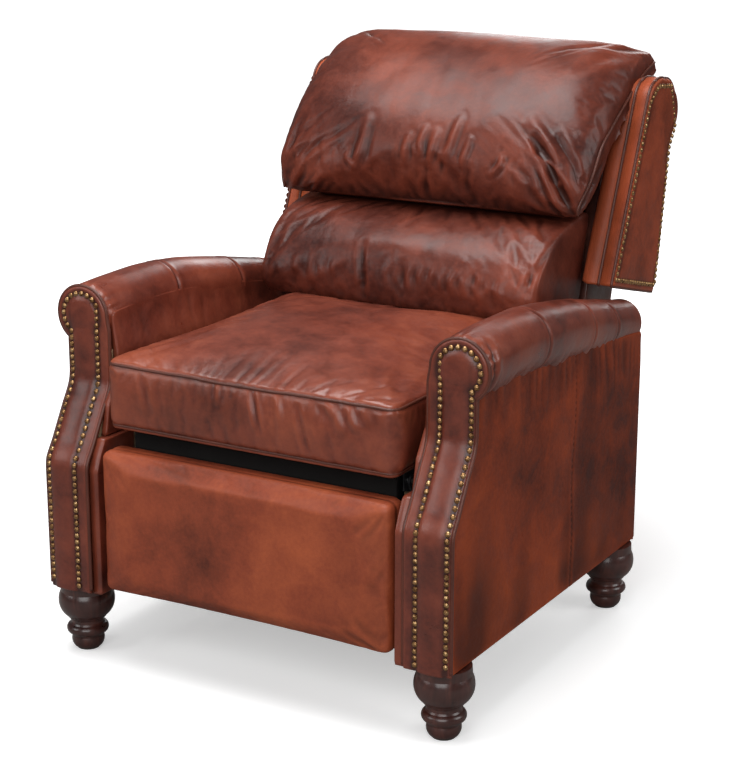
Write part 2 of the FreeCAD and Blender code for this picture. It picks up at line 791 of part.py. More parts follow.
def wing_nails(side_name, side):
    """Brass nails a little way in from the wing's edge, on its outer face."""
    centre = Vector(835, 790, 0)
    corners = [Vector(p[0], p[1], 0) for p in WING_OUTLINE]
    inset = [p + (centre - p).normalize() * D.wing_nail_margin.number for p in corners]
    path = Part.makePolygon([Vector(0, p.x, p.y) for p in inset + inset[:1]])
    count = round(path.Length / D.nail_pitch.number)
    outward = Vector(side, 0, 0)
    heads = [dome(Vector(side * (D.wing_outer.number + 0.1), spot.y, spot.z), outward)
             for spot in path.discretize(Number=count + 1)[:-1]]
    node = doc.addObject("Part::Feature", f"wing_nails_{side_name}")
    node.Shape = Part.makeCompound(heads)
    register(node, f"wing_nails_{side_name}")


for side_name, side in SIDES:
    side_plate(f"wing_{side_name}", side, D.wing_inner, D.wing_outer, WING_OUTLINE)
    wing_nails(side_name, side)

cross_piece("lumbar_pillow", D.pillow_half, [
    (512, 572), (705, 572), (742, 742), (650, 742), (590, 722, 60), (500, 620, 190),
    (498, 596)])

head = new_body("head_pillow")
core = new_sketch(head, "YZ_Plane", -D.pillow_half)
draw_outline(core, [
    (640, 746), (744, 746), (823, 972), (948, 945), (962, 975), (925, 1030, 50),
    (850, 1041, 90), (640, 878, 400), (603, 800, 150), (612, 764, 60)])
pad(head, core, D.pillow_half + D.pillow_half)
overhang = new_sketch(head, "YZ_Plane", -D.head_half)
draw_outline(overhang, [
    (652, 750), (734, 750), (819, 950), (828, 978), (930, 978), (920, 1016, 50),
    (850, 1032, 90), (652, 880, 400), (616, 800, 150), (626, 766, 60)])
pad(head, overhang, D.head_half + D.head_half)


# ---------------------------------------------------------------- check and write

doc.recompute()
for thing in doc.Objects:
    if "Invalid" in thing.State or "Error" in thing.State:
        raise RuntimeError(f"{thing.Label} failed: {thing.State}")
for thing in SUB_PARTS:
    if thing.Shape.isNull() or not thing.Shape.isValid():
        raise RuntimeError(f"{thing.Label} has no valid shape")
    if not thing.Shape.Solids:
        raise RuntimeError(f"{thing.Label} holds no solid")

os.makedirs("parts", exist_ok=True)
for thing in SUB_PARTS:
    thing.Shape.exportStep(f"parts/{thing.Label}.step")
print(len(SUB_PARTS), "sub-parts written")
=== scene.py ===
import math

import bmesh
import bpy
import numpy as np
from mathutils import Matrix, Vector
from mathutils.bvhtree import BVHTree
from mathutils.geometry import delaunay_2d_cdt

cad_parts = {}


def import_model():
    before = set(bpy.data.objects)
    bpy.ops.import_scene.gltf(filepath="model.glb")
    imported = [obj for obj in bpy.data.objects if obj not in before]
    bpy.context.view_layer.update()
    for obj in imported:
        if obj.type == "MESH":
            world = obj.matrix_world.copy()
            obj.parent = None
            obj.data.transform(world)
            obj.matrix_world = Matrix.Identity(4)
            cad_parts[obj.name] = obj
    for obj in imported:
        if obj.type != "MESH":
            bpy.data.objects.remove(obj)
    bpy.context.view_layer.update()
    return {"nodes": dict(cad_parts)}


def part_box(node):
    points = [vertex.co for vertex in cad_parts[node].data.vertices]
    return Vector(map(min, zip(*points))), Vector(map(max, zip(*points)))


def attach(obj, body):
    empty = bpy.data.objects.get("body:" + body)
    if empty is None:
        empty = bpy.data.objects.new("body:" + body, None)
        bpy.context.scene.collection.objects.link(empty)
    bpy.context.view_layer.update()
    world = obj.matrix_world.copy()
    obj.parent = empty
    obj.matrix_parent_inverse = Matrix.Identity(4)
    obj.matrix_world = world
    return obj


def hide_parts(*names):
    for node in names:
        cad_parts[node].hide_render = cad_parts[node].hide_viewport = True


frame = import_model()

# The looks of a leather recliner. Shapes below are in millimetres in the chair's own layout:
# x across (plus to the sitter's left), y back from the front of the arms, z up from the floor.

SHIFT = Vector((0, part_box("arm_facing_left")[0].y, 0))
SIDES = (("left", 1), ("right", -1))


def reach(node):
    """A CAD node's low and high corners in the chair's layout, in mm."""
    low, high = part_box(node)
    return (low - SHIFT) * 1000, (high - SHIFT) * 1000


# ---- curves and noise

def columns(*values):
    """Rows of numbers as the columns of one table of points."""
    return np.stack(values, 1)


def closed(outline):
    """An outline with its first point again at its end."""
    return np.vstack([outline, outline[:1]])


def opened(ring):
    """A ring of points turned so that it starts after its widest gap."""
    gaps = np.linalg.norm(np.roll(ring, 1, 0) - ring, axis=1)
    return np.roll(ring, -int(np.argmax(gaps)), 0)


def trace(corners, step=5.0):
    """A dense closed outline. A corner's third value is the radius of the arc that ends there."""
    dense = []
    for before, corner in zip(corners[-1:] + corners[:-1], corners):
        start, end = np.array(before[:2], float), np.array(corner[:2], float)
        chord = np.linalg.norm(end - start)
        if len(corner) == 2:
            count = max(1, round(chord / step))
            dense += [start + (end - start) * i / count for i in range(1, count + 1)]
            continue
        radius = corner[2]
        left = np.array([start[1] - end[1], end[0] - start[0]]) / chord
        offset = math.sqrt(max(radius ** 2 - chord ** 2 / 4, 0)) * math.copysign(1, radius)
        centre = (start + end) / 2 + left * offset
        sweep = 2 * math.asin(min(1, chord / 2 / abs(radius))) * math.copysign(1, radius)
        first = math.atan2(*(start - centre)[::-1])
        count = max(3, round(abs(sweep * radius) / step))
        for i in range(1, count + 1):
            angle = first + sweep * i / count
            dense.append(centre + abs(radius) * np.array([math.cos(angle), math.sin(angle)]))
    return np.array(dense)


def rectangle(left, low, right, high, step=8.0):
    """A dense closed outline of a plain rectangle."""
    return trace([(left, low), (right, low), (right, high), (left, high)], step)


def spline(points, count):
    """Points along a smooth open curve through a few given ones."""
    given = np.array(points, float)
    padded = np.vstack([2 * given[0] - given[1], given, 2 * given[-1] - given[-2]])
    spots = np.linspace(0, len(given) - 1.0001, count)
    piece = spots.astype(int)
    t = (spots - piece)[:, None]
    a, b, c, d = (padded[piece + i] for i in range(4))
    return 0.5 * (2 * b + (c - a) * t + (2 * a - 5 * b + 4 * c - d) * t ** 2
                  + (3 * b - a - 3 * c + d) * t ** 3)


def lumps(points, size, seed, waves=28):
    """A smooth random height, mostly between -1 and 1, with bumps about size mm apart."""
    rng = np.random.default_rng(seed)
    directions = rng.normal(size=(waves, points.shape[1]))
    directions /= np.linalg.norm(directions, axis=1)[:, None]
    pitch = size * rng.uniform(0.7, 1.6, waves)
    phase = rng.uniform(0, 2 * math.pi, waves)
    return np.sin(points @ (directions * 2 * math.pi / pitch[:, None]).T + phase).sum(1) \
        / math.sqrt(waves)


def bell(distance, width):
    """1 on a line, falling smoothly to 0 a few widths away."""
    return np.exp(-(distance / width) ** 2)


def ramp(value, start, end):
    """0 before start, 1 after end, smooth between."""
    t = np.clip((value - start) / (end - start), 0, 1)
    return t * t * (3 - 2 * t)


def off_path(points, path):
    """For each point, its distance from a path of straight runs and how far along it is, 0 to 1."""
    path = np.array(path, float)
    best = np.full(len(points), 1e9)
    along = np.zeros(len(points))
    for i, (start, end) in enumerate(zip(path[:-1], path[1:])):
        run = end - start
        t = np.clip(((points - start) @ run) / max(run @ run, 1e-9), 0, 1)
        distance = np.linalg.norm(points - start - t[:, None] * run, axis=1)
        closer = distance < best
        best = np.where(closer, distance, best)
        along = np.where(closer, (i + t) / (len(path) - 1), along)
    return best, along


# ---- meshes

def to_mesh(name, points, faces):
    """A mesh from points in the chair's layout, with its faces turned outwards."""
    mesh = bpy.data.meshes.new(name)
    places = np.asarray(points, float) / 1000 + np.array(SHIFT)
    mesh.from_pydata(places.tolist(), [], [list(map(int, face)) for face in faces])
    shell = bmesh.new()
    shell.from_mesh(mesh)
    bmesh.ops.recalc_face_normals(shell, faces=shell.faces)
    shell.to_mesh(mesh)
    shell.free()
    return mesh


def table_of(items, key, width, kind=np.float32):
    """One property of a mesh's points or edges, a row for each."""
    values = np.empty(len(items) * width, kind)
    items.foreach_get(key, values)
    return values.reshape(-1, width)


def read_points(mesh):
    return (table_of(mesh.vertices, "co", 3) - np.array(SHIFT)) * 1000


def write_points(mesh, points):
    places = points / 1000 + np.array(SHIFT)
    mesh.vertices.foreach_set("co", places.astype(np.float32).ravel())
    mesh.update()


def normals_of(mesh):
    return table_of(mesh.vertices, "normal", 3)


def smoothed(mesh, points, rounds):
    """The points after a few rounds of averaging each with its neighbours."""
    first, second = table_of(mesh.edges, "vertices", 2, np.int32).T
    count = len(points)
    share = np.bincount(first, minlength=count) + np.bincount(second, minlength=count)
    for _ in range(rounds):
        total = np.stack([np.bincount(first, points[second, k], count)
                          + np.bincount(second, points[first, k], count) for k in range(3)], 1)
        points = 0.4 * points + 0.6 * total / share[:, None]
    return points


def mark_relief(mesh, rounds=14, full=1.9, stain=None):
    """Keeps on each point how far it stands above (rubbed) or below (painted shade with grime) its
    surroundings.

    A darkening function, if given, takes the points and darkens where it is positive; on most
    pieces this is painted shade in recesses, with some grime.
    """
    points = read_points(mesh)
    height = ((points - smoothed(mesh, points, rounds)) * normals_of(mesh)).sum(1) / full
    if stain is not None:
        height -= stain(points)
    relief = mesh.attributes.get("relief") or mesh.attributes.new("relief", "FLOAT", "POINT")
    relief.data.foreach_set("value", np.clip(height, -1, 1).astype(np.float32))


def shown(name, data):
    """A new object in the scene."""
    thing = bpy.data.objects.new(name, data)
    bpy.context.scene.collection.objects.link(thing)
    return thing


def piece(mesh, body, slot, material, replaces=(), fill=None, rounds=14, stain=None):
    """A finished visible piece: smooth, with its finish, riding on its body."""
    mark_relief(mesh, rounds, stain=stain)
    for face in mesh.polygons:
        face.use_smooth = True
    thing = shown(mesh.name, mesh)
    mesh.materials.append(material)
    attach(thing, body)
    if replaces:
        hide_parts(*replaces)
    return thing


def slab(outline, place, rounding, thickness, crown=0.0, crown_reach=60.0, spacing=7.0,
         shape=None):
    """A padded panel: its outline, rounded at the rim, crowned on its face, flat behind.

    place turns (across, up, height) into the chair's layout, and shape adds to the height.
    rounding is the radius of the rim, and spacing how far apart its points are.
    """
    inward = np.roll(outline, -1, 0) - np.roll(outline, 1, 0)
    inward = columns(-inward[:, 1], inward[:, 0]) / np.linalg.norm(inward, axis=1)[:, None]
    area = np.sum(outline[:, 0] * np.roll(outline[:, 1], -1)
                  - outline[:, 1] * np.roll(outline[:, 0], -1))
    inward *= math.copysign(1, area)
    loop = closed(outline)
    flat = [outline]
    insets = [rounding * share for share in (0.08, 0.25, 0.5, 0.8, 1.15)]
    for inset in insets:
        ring = outline + inward * inset
        flat.append(ring[off_path(ring, loop)[0] > inset * 0.93])
    low, high = outline.min(0), outline.max(0)
    rows = np.arange(low[1], high[1], spacing * 0.87)
    grid = np.array([(x + (i % 2) * spacing / 2, y) for i, y in enumerate(rows)
                     for x in np.arange(low[0], high[0], spacing)])
    spread = off_path(grid, loop)[0]
    inside = np.array([winding(point, outline) for point in grid])
    flat.append(grid[inside & (spread > insets[-1] + spacing * 0.55)])
    flat = np.vstack(flat)
    edges = [(i, (i + 1) % len(outline)) for i in range(len(outline))]
    spots, _, triangles, *_ = delaunay_2d_cdt([Vector(p) for p in flat], edges, [], 1, 1e-4)
    spots = np.array([tuple(p) for p in spots])
    deep = off_path(spots, loop)[0]
    near = np.clip(deep / rounding, 0, 1)
    height = rounding * np.sqrt(1 - (1 - near) ** 2) - rounding
    height += crown * (1 - np.exp(-np.maximum(deep - rounding, 0) / crown_reach))
    if shape is not None:
        height += shape(spots[:, 0], spots[:, 1], deep)
    front = place(spots[:, 0], spots[:, 1], height)
    back = place(spots[:, 0], spots[:, 1], np.full(len(spots), -float(thickness)))
    total = len(spots)
    faces = [tuple(t) for t in triangles] + [tuple(total + i for i in t[::-1]) for t in triangles]
    rim = [int(np.argmin(np.linalg.norm(spots - p, axis=1))) for p in outline]
    faces += [(a, b, b + total, a + total) for a, b in zip(rim, rim[1:] + rim[:1]) if a != b]
    return np.vstack([front, back]), faces


def winding(point, outline):
    """Whether a point is inside an outline."""
    x, y = outline[:, 0] - point[0], outline[:, 1] - point[1]
    nx, ny = np.roll(x, -1), np.roll(y, -1)
    crossing = (y > 0) != (ny > 0)
    with np.errstate(divide="ignore", invalid="ignore"):
        at = x + (nx - x) * (-y) / (ny - y)
    return bool(np.count_nonzero(crossing & (at > 0)) % 2)


def loft(rings):
    """A closed skin through rings of equal count, its ends closed on their middles."""
    rings = np.array(rings)
    total, around, _ = rings.shape
    faces = [(i * around + j, i * around + (j + 1) % around,
              (i + 1) * around + (j + 1) % around, (i + 1) * around + j)
             for i in range(total - 1) for j in range(around)]
    points = np.vstack([rings.reshape(-1, 3), rings[0].mean(0), rings[-1].mean(0)])
    first, last = total * around, total * around + 1
    faces += [(first, (j + 1) % around, j) for j in range(around)]
    base = (total - 1) * around
    faces += [(last, base + j, base + (j + 1) % around) for j in range(around)]
    return points, faces


def tube(path, radius, sides=10):
    """A round cord of leather along a path."""
    path = np.array(path, float)
    runs = np.gradient(path, axis=0)
    runs /= np.linalg.norm(runs, axis=1)[:, None]
    out = np.cross(runs[0], [0.31, 0.52, 0.79])
    rings = []
    angles = np.linspace(0, 2 * math.pi, sides, endpoint=False)
    for spot, run in zip(path, runs):
        out = out - run * (out @ run)
        out /= np.linalg.norm(out)
        side = np.cross(run, out)
        rings.append(spot + radius * (np.cos(angles)[:, None] * out
                                      + np.sin(angles)[:, None] * side))
    return loft(rings)


def merged(one, other):
    """Two separate shells as one list of points and faces."""
    faces = [tuple(len(one[0]) + int(i) for i in face) for face in other[1]]
    return np.vstack([one[0], other[0]]), list(one[1]) + faces


def cover(name, shell, body, material, *more, slot="arm_leather", **rest):
    """A piece made straight from a shell."""
    return piece(to_mesh(name, *shell), body, slot, material, *more, **rest)


def welt(name, path, radius, body, slot="arm_leather"):
    """Piping sewn along a path."""
    cover(name, tube(path, radius), body, WELT_LEATHER, slot=slot)


# ---- stuffing

VOXEL = 0.0055
SIM_FRAMES = 20
CLOTH = dict(quality=5, mass=0.4, vertex_group_mass="held", tension_stiffness=20,
             compression_stiffness=12, shear_stiffness=8, bending_stiffness=1.2, air_damping=2,
             use_pressure=True)


def baked(thing):
    """The mesh that an object's modifiers make, as a mesh of its own."""
    graph = bpy.context.evaluated_depsgraph_get()
    return bpy.data.meshes.new_from_object(thing.evaluated_get(graph))


def stuffed(name, shell, pinned, cap, pressure, slack):
    """A closed form remeshed, blown up as cloth with its seams held, and subdivided once.

    pinned takes the points and says which are held. No point moves more than cap mm, and slack
    is the share of spare leather.
    """
    thing = shown(name, to_mesh(name, *shell))
    remesh = thing.modifiers.new("remesh", "REMESH")
    remesh.mode = "VOXEL"
    remesh.voxel_size = VOXEL
    thing.data = baked(thing)
    thing.modifiers.clear()
    start = smoothed(thing.data, read_points(thing.data), 2)
    write_points(thing.data, start)
    held = thing.vertex_groups.new(name="held")
    held.add([int(i) for i in np.flatnonzero(pinned(start))], 1.0, "REPLACE")
    cloth = thing.modifiers.new("cloth", "CLOTH")
    for key, value in dict(CLOTH, uniform_pressure_force=pressure, shrink_min=-slack).items():
        setattr(cloth.settings, key, value)
    cloth.settings.effector_weights.gravity = 0
    cloth.point_cache.frame_end = SIM_FRAMES
    for step in range(1, SIM_FRAMES + 1):
        bpy.context.scene.frame_set(step)
    swollen = baked(thing)
    thing.modifiers.clear()
    moved = read_points(swollen) - start
    length = np.linalg.norm(moved, axis=1)
    moved *= (np.minimum(length, cap) / np.maximum(length, 1e-6))[:, None]
    write_points(thing.data, start + moved)
    bpy.context.scene.frame_set(1)
    finer = thing.modifiers.new("finer", "SUBSURF")
    finer.levels = finer.render_levels = 1
    final = baked(thing)
    old = thing.data
    bpy.data.objects.remove(thing)
    bpy.data.meshes.remove(old)
    final.name = name
    final.materials.clear()
    return final


def fold_height(spots, folds):
    """The height of sewn-in folds. Each is its path, width and height, and fades at its ends."""
    height = np.zeros(len(spots))
    for path, width, rise in folds:
        distance, along = off_path(spots, spline(path, 14))
        fade = np.sin(math.pi * np.clip(along * 0.86 + 0.07, 0, 1)) ** 0.7
        ridge = bell(distance, width) - 0.55 * bell(distance - 2.0 * width, width * 0.9)
        height += rise * fade * ridge
    return height


def snapped(path, mesh, lift):
    """A path laid on a mesh, standing proud of it by lift mm."""
    tree = BVHTree.FromPolygons([v.co for v in mesh.vertices],
                                [tuple(f.vertices) for f in mesh.polygons])
    spots = []
    for spot in path:
        near, normal, *_ = tree.find_nearest(Vector(spot) / 1000 + SHIFT)
        spots.append((near - SHIFT) * 1000 + normal * lift)
    spots = np.array([tuple(s) for s in spots])
    for _ in range(4):
        spots[1:-1] = (spots[:-2] + 2 * spots[1:-1] + spots[2:]) / 4
    return spots


# ---- materials

class Nodes:
    """A new material's nodes, with short calls to add and join them."""

    def __init__(self, name):
        self.material = bpy.data.materials.new(name)
        self.material.use_nodes = True
        self.tree = self.material.node_tree
        self.shader = self.tree.nodes["Principled BSDF"]
        self.place = self.tree.nodes.new("ShaderNodeTexCoord").outputs["Object"]

    def add(self, kind, inputs=(), **settings):
        node = self.tree.nodes.new(kind)
        for key, value in settings.items():
            setattr(node, key, value)
        for key, value in dict(inputs).items():
            self.put(node.inputs[key], value)
        return node

    def put(self, socket, value):
        if isinstance(value, bpy.types.NodeSocket):
            self.tree.links.new(value, socket)
        else:
            socket.default_value = value

    def noise(self, scale, detail=4.0, roughness=0.55, distortion=0.0, stretch=None):
        place = self.place
        if stretch:
            place = self.add("ShaderNodeMapping", {"Vector": place, "Scale": stretch}).outputs[0]
        return self.add("ShaderNodeTexNoise", {
            "Vector": place, "Scale": scale, "Detail": detail, "Roughness": roughness,
            "Distortion": distortion}).outputs["Fac"]

    def math(self, operation, first, second):
        return self.add("ShaderNodeMath", {0: first, 1: second}, operation=operation).outputs[0]

    def remap(self, value, low, high, new_low, new_high):
        return self.add("ShaderNodeMapRange", {
            "Value": value, "From Min": low, "From Max": high,
            "To Min": new_low, "To Max": new_high}).outputs[0]

    def ramp(self, value, stops):
        node = self.add("ShaderNodeValToRGB", {"Fac": value})
        ends = node.color_ramp.elements
        while len(ends) < len(stops):
            ends.new(0.5)
        for end, (position, colour) in zip(ends, stops):
            end.position = position
            end.color = (*colour, 1)
        return node.outputs["Color"]

    def blend(self, share, first, second):
        node = self.add("ShaderNodeMix", data_type="RGBA")
        self.put(node.inputs["Factor"], share)
        for socket, value in ((node.inputs[6], first), (node.inputs[7], second)):
            self.put(socket, value if isinstance(value, bpy.types.NodeSocket) else (*value, 1))
        return node.outputs[2]

    def bump(self, height, strength, distance, **under):
        return self.add("ShaderNodeBump", {
            "Height": height, "Strength": strength, "Distance": distance,
            **under}).outputs["Normal"]

    def finish(self, **inputs):
        for key, value in inputs.items():
            self.put(self.shader.inputs[key.replace("_", " ")], value)
        return self.material


def leather(name, dark, middle, warm, roughness, patches, wear, coat, shine=0.5):
    """Burnished leather: cloudy dye, warm rubbed crests, valleys darkened by painted shade with
    grime, and a fine pebble grain.

    patches is the scale of the clouds, wear the share of rubbing on a crest, coat the share of
    clear coat over it and shine its specular level.
    """
    n = Nodes(name)
    clouds = n.noise(patches, 3.0, 0.5, 0.3)
    mottle = n.noise(patches * 5.2, 6.0, 0.62, 0.5)
    flecks = n.noise(150.0, 3.0, 0.6)
    tone = n.math("ADD", n.math("MULTIPLY", clouds, 0.58), n.math("MULTIPLY", mottle, 0.3))
    tone = n.math("ADD", tone, n.math("MULTIPLY", flecks, 0.12))
    dye = n.ramp(tone, [(0.36, dark), (0.5, middle), (0.66, warm)])
    relief = n.add("ShaderNodeAttribute", attribute_name="relief").outputs["Fac"]
    crest = n.remap(relief, 0.08, 0.9, 0.0, wear)
    # Low relief darkens towards a third of the dark tone: painted shade in creases and seams, with
    # grime.
    valley = n.remap(relief, -0.1, -0.85, 0.0, 0.75)
    rubbed = n.blend(crest, dye, [min(1, c * 1.25) for c in warm])
    colour = n.blend(valley, rubbed, [c * 0.3 for c in dark])
    pores = n.add("ShaderNodeTexVoronoi", {"Vector": n.place, "Scale": 520.0},
                  feature="F1").outputs["Distance"]
    grain = n.bump(pores, 0.16, 0.0006)
    creases = n.bump(n.noise(75.0, 7.0, 0.62, 0.8), 0.22, 0.0016, Normal=grain)
    waves = n.bump(n.noise(17.0, 3.0, 0.5, 0.2), 0.3, 0.004, Normal=creases)
    dull = n.remap(mottle, 0.3, 0.7, roughness - 0.07, roughness + 0.1)
    return n.finish(Base_Color=colour, Roughness=dull, Normal=waves, IOR=1.46,
                    Specular_IOR_Level=shine, Coat_Weight=coat, Coat_Roughness=0.24)


def black_cloth():
    """Thin black dust cloth: a plain weave with paler worn threads. Over the seat rail its
    near-black also stands in for the shade in the gap under the seat.
    """
    n = Nodes("black_dust_cloth")
    thread = {"Vector": n.place, "Scale": 260.0, "Distortion": 0.6}
    warp, weft = (n.add("ShaderNodeTexWave", thread, bands_direction=run).outputs["Fac"]
                  for run in "XZ")
    weave = n.math("MULTIPLY", warp, weft)
    dust = n.noise(24.0, 5.0, 0.6)
    colour = n.ramp(n.math("MULTIPLY", weave, dust), [
        (0.05, (0.006, 0.005, 0.005)), (0.6, (0.03, 0.026, 0.024))])
    return n.finish(Base_Color=colour, Roughness=n.remap(dust, 0.3, 0.7, 0.85, 0.95),
                    Normal=n.bump(weave, 0.4, 0.0004), Specular_IOR_Level=0.2)


def hard(name, pattern, stops, fine, lift, dull, low=0.3, by_fine=False, **rest):
    """A hard finish from two noises: pattern colours it by stops, and fine is its grain.

    Both are settings for Nodes.noise. lift is the bump's strength and distance. dull is the
    roughness where the pattern (or the grain, with by_fine) is at low and where it is at 0.7.
    """
    n = Nodes(name)
    tones = n.noise(*pattern)
    grain = n.noise(*fine)
    return n.finish(Base_Color=n.ramp(tones, stops), Normal=n.bump(grain, *lift),
                    Roughness=n.remap(grain if by_fine else tones, low, 0.7, *dull), **rest)


TURNED_WOOD = hard(
    "turned_mahogany", (26.0, 5.0, 0.6, 1.4, (1.0, 1.0, 0.22)),
    [(0.3, (0.02, 0.007, 0.006)), (0.55, (0.058, 0.017, 0.013)), (0.75, (0.12, 0.034, 0.022))],
    (420.0, 3.0, 0.6, 0.0, (1.0, 1.0, 0.08)), (0.2, 0.0005), (0.24, 0.4),
    Coat_Weight=0.45, Coat_Roughness=0.16)
BRASS = hard(
    "antique_brass", (160.0, 4.0, 0.6, 0.3),
    [(0.32, (0.09, 0.042, 0.018)), (0.5, (0.36, 0.2, 0.085)), (0.7, (0.64, 0.43, 0.22))],
    (700.0, 2.0), (0.15, 0.0004), (0.46, 0.3), Metallic=1.0)
FRAME_WOOD = hard(
    "bare_frame_wood", (9.0, 6.0, 0.6, 1.8, (0.5, 6.0, 6.0)),
    [(0.3, (0.36, 0.22, 0.115)), (0.52, (0.55, 0.38, 0.22)), (0.72, (0.66, 0.5, 0.32))],
    (300.0, 3.0, 0.6, 0.0, (0.1, 1.0, 1.0)), (0.3, 0.0006), (0.55, 0.75), by_fine=True)
COATED = hard(
    "coated_steel", (38.0, 6.0, 0.7, 0.6),
    [(0.4, (0.03, 0.03, 0.033)), (0.62, (0.06, 0.06, 0.064)), (0.76, (0.2, 0.19, 0.18))],
    (900.0, 2.0, 0.5), (0.2, 0.0003), (0.5, 0.34), low=0.35, Metallic=0.5)
STREAKS = (60.0, 5.0, 0.65, 0.2, (1.0, 5.0, 1.0))
PLATED = hard(
    "plated_steel", STREAKS,
    [(0.3, (0.3, 0.3, 0.31)), (0.6, (0.52, 0.52, 0.5)), (0.8, (0.62, 0.6, 0.55))],
    STREAKS, (0.15, 0.0003), (0.26, 0.44), Metallic=1.0)
PLASTIC = hard(
    "glide_plastic", (45.0, 5.0, 0.7), [(0.35, (0.03, 0.028, 0.026)), (0.7, (0.085, 0.08, 0.074))],
    (520.0, 3.0, 0.6), (0.25, 0.0004), (0.5, 0.66))
BLACK_CLOTH = black_cloth()
SEAT_LEATHER = leather("seat_leather", (0.075, 0.015, 0.009), (0.185, 0.037, 0.019),
                       (0.31, 0.071, 0.031),
                       roughness=0.36, patches=4.4, wear=0.35, coat=0.2)
PILLOW_LEATHER = leather("pillow_leather", (0.035, 0.008, 0.006), (0.11, 0.023, 0.013),
                         (0.22, 0.046, 0.023),
                         roughness=0.37, patches=4.2, wear=0.32, coat=0.05, shine=0.34)
REST_LEATHER = leather("footrest_leather", (0.105, 0.021, 0.01), (0.275, 0.053, 0.022),
                       (0.45, 0.1, 0.035),
                       roughness=0.48, patches=3.0, wear=0.3, coat=0.03, shine=0.4)
ARM_LEATHER = leather("arm_leather", (0.045, 0.01, 0.007), (0.145, 0.028, 0.015),
                      (0.24, 0.052, 0.025),
                      roughness=0.34, patches=5.0, wear=0.4, coat=0.18)
SIDE_LEATHER = leather("side_leather", (0.075, 0.012, 0.005), (0.24, 0.039, 0.012),
                       (0.4, 0.072, 0.02),
                       roughness=0.58, patches=3.2, wear=0.3, coat=0.0, shine=0.24)
WING_LEATHER = leather("wing_leather", (0.14, 0.026, 0.01), (0.3, 0.055, 0.021),
                       (0.42, 0.09, 0.032),
                       roughness=0.48, patches=4.4, wear=0.35, coat=0.04, shine=0.28)
WELT_LEATHER = leather("welt_leather", (0.022, 0.006, 0.004), (0.06, 0.014, 0.008),
                       (0.12, 0.03, 0.016),
                       roughness=0.42, patches=9.0, wear=0.4, coat=0.1)


# ---- arms

KNEE = 350
SETBACK = reach("arm_facing_left")[1].y - 10
LEG_INNER, LEG_OUTER = 312, 397
HEAD_X, HEAD_Z, HEAD_R = 367, 604, 51
ARM_BOTTOM = reach("arm_facing_left")[0].z
ARM_REAR = reach("arm_outer_panel_left")[1].y
NAIL_ROWS = (335, 390)
NAIL_RING = 38


def front_bends(gap=0):
    """The corners of the arm's front edge in side view, gap mm behind it, from the knee up."""
    return [(gap, KNEE), (gap + 14, KNEE + 30, -36), (gap + 60, KNEE + 112),
            (gap + SETBACK, KNEE + 155, 60)]


FACE_CURVE = np.vstack([
    [(0, ARM_BOTTOM - 20)],
    trace(front_bends() + [(SETBACK, 700), (-50, 700), (-50, KNEE)], 3.0)])
FACE_CURVE = FACE_CURVE[(FACE_CURVE[:, 0] >= -0.01)]
FACE_CURVE = FACE_CURVE[np.argsort(FACE_CURVE[:, 1], kind="stable")]


def face_depth(height):
    """How far back the arm's front is at a height, its bends eased a little."""
    shifts = np.linspace(-12, 12, 7)
    return np.mean([np.interp(height + shift, FACE_CURVE[:, 1], FACE_CURVE[:, 0])
                    for shift in shifts], 0)


def on_face(side):
    """Puts a flat shape on the arm's curved front. Height stands out towards the front."""
    def place(across, up, height):
        slope = (face_depth(up + 2) - face_depth(up - 2)) / 4
        length = np.sqrt(1 + slope ** 2)
        return columns(side * across, face_depth(up) - height / length,
                       up + height * slope / length)
    return place


def on_side(x, side, turn=1):
    """Puts a flat shape (depth, up) on an upright plane that faces away from the middle.

    With turn -1 it faces the middle.
    """
    return lambda depth, up, height: columns(side * (x + turn * height), depth, up)


def on_rear(y, side=1, turn=1):
    """Puts a flat shape (across, up) on an upright plane facing the rear, or front for turn -1."""
    return lambda across, up, height: columns(side * across, y + turn * height, up)


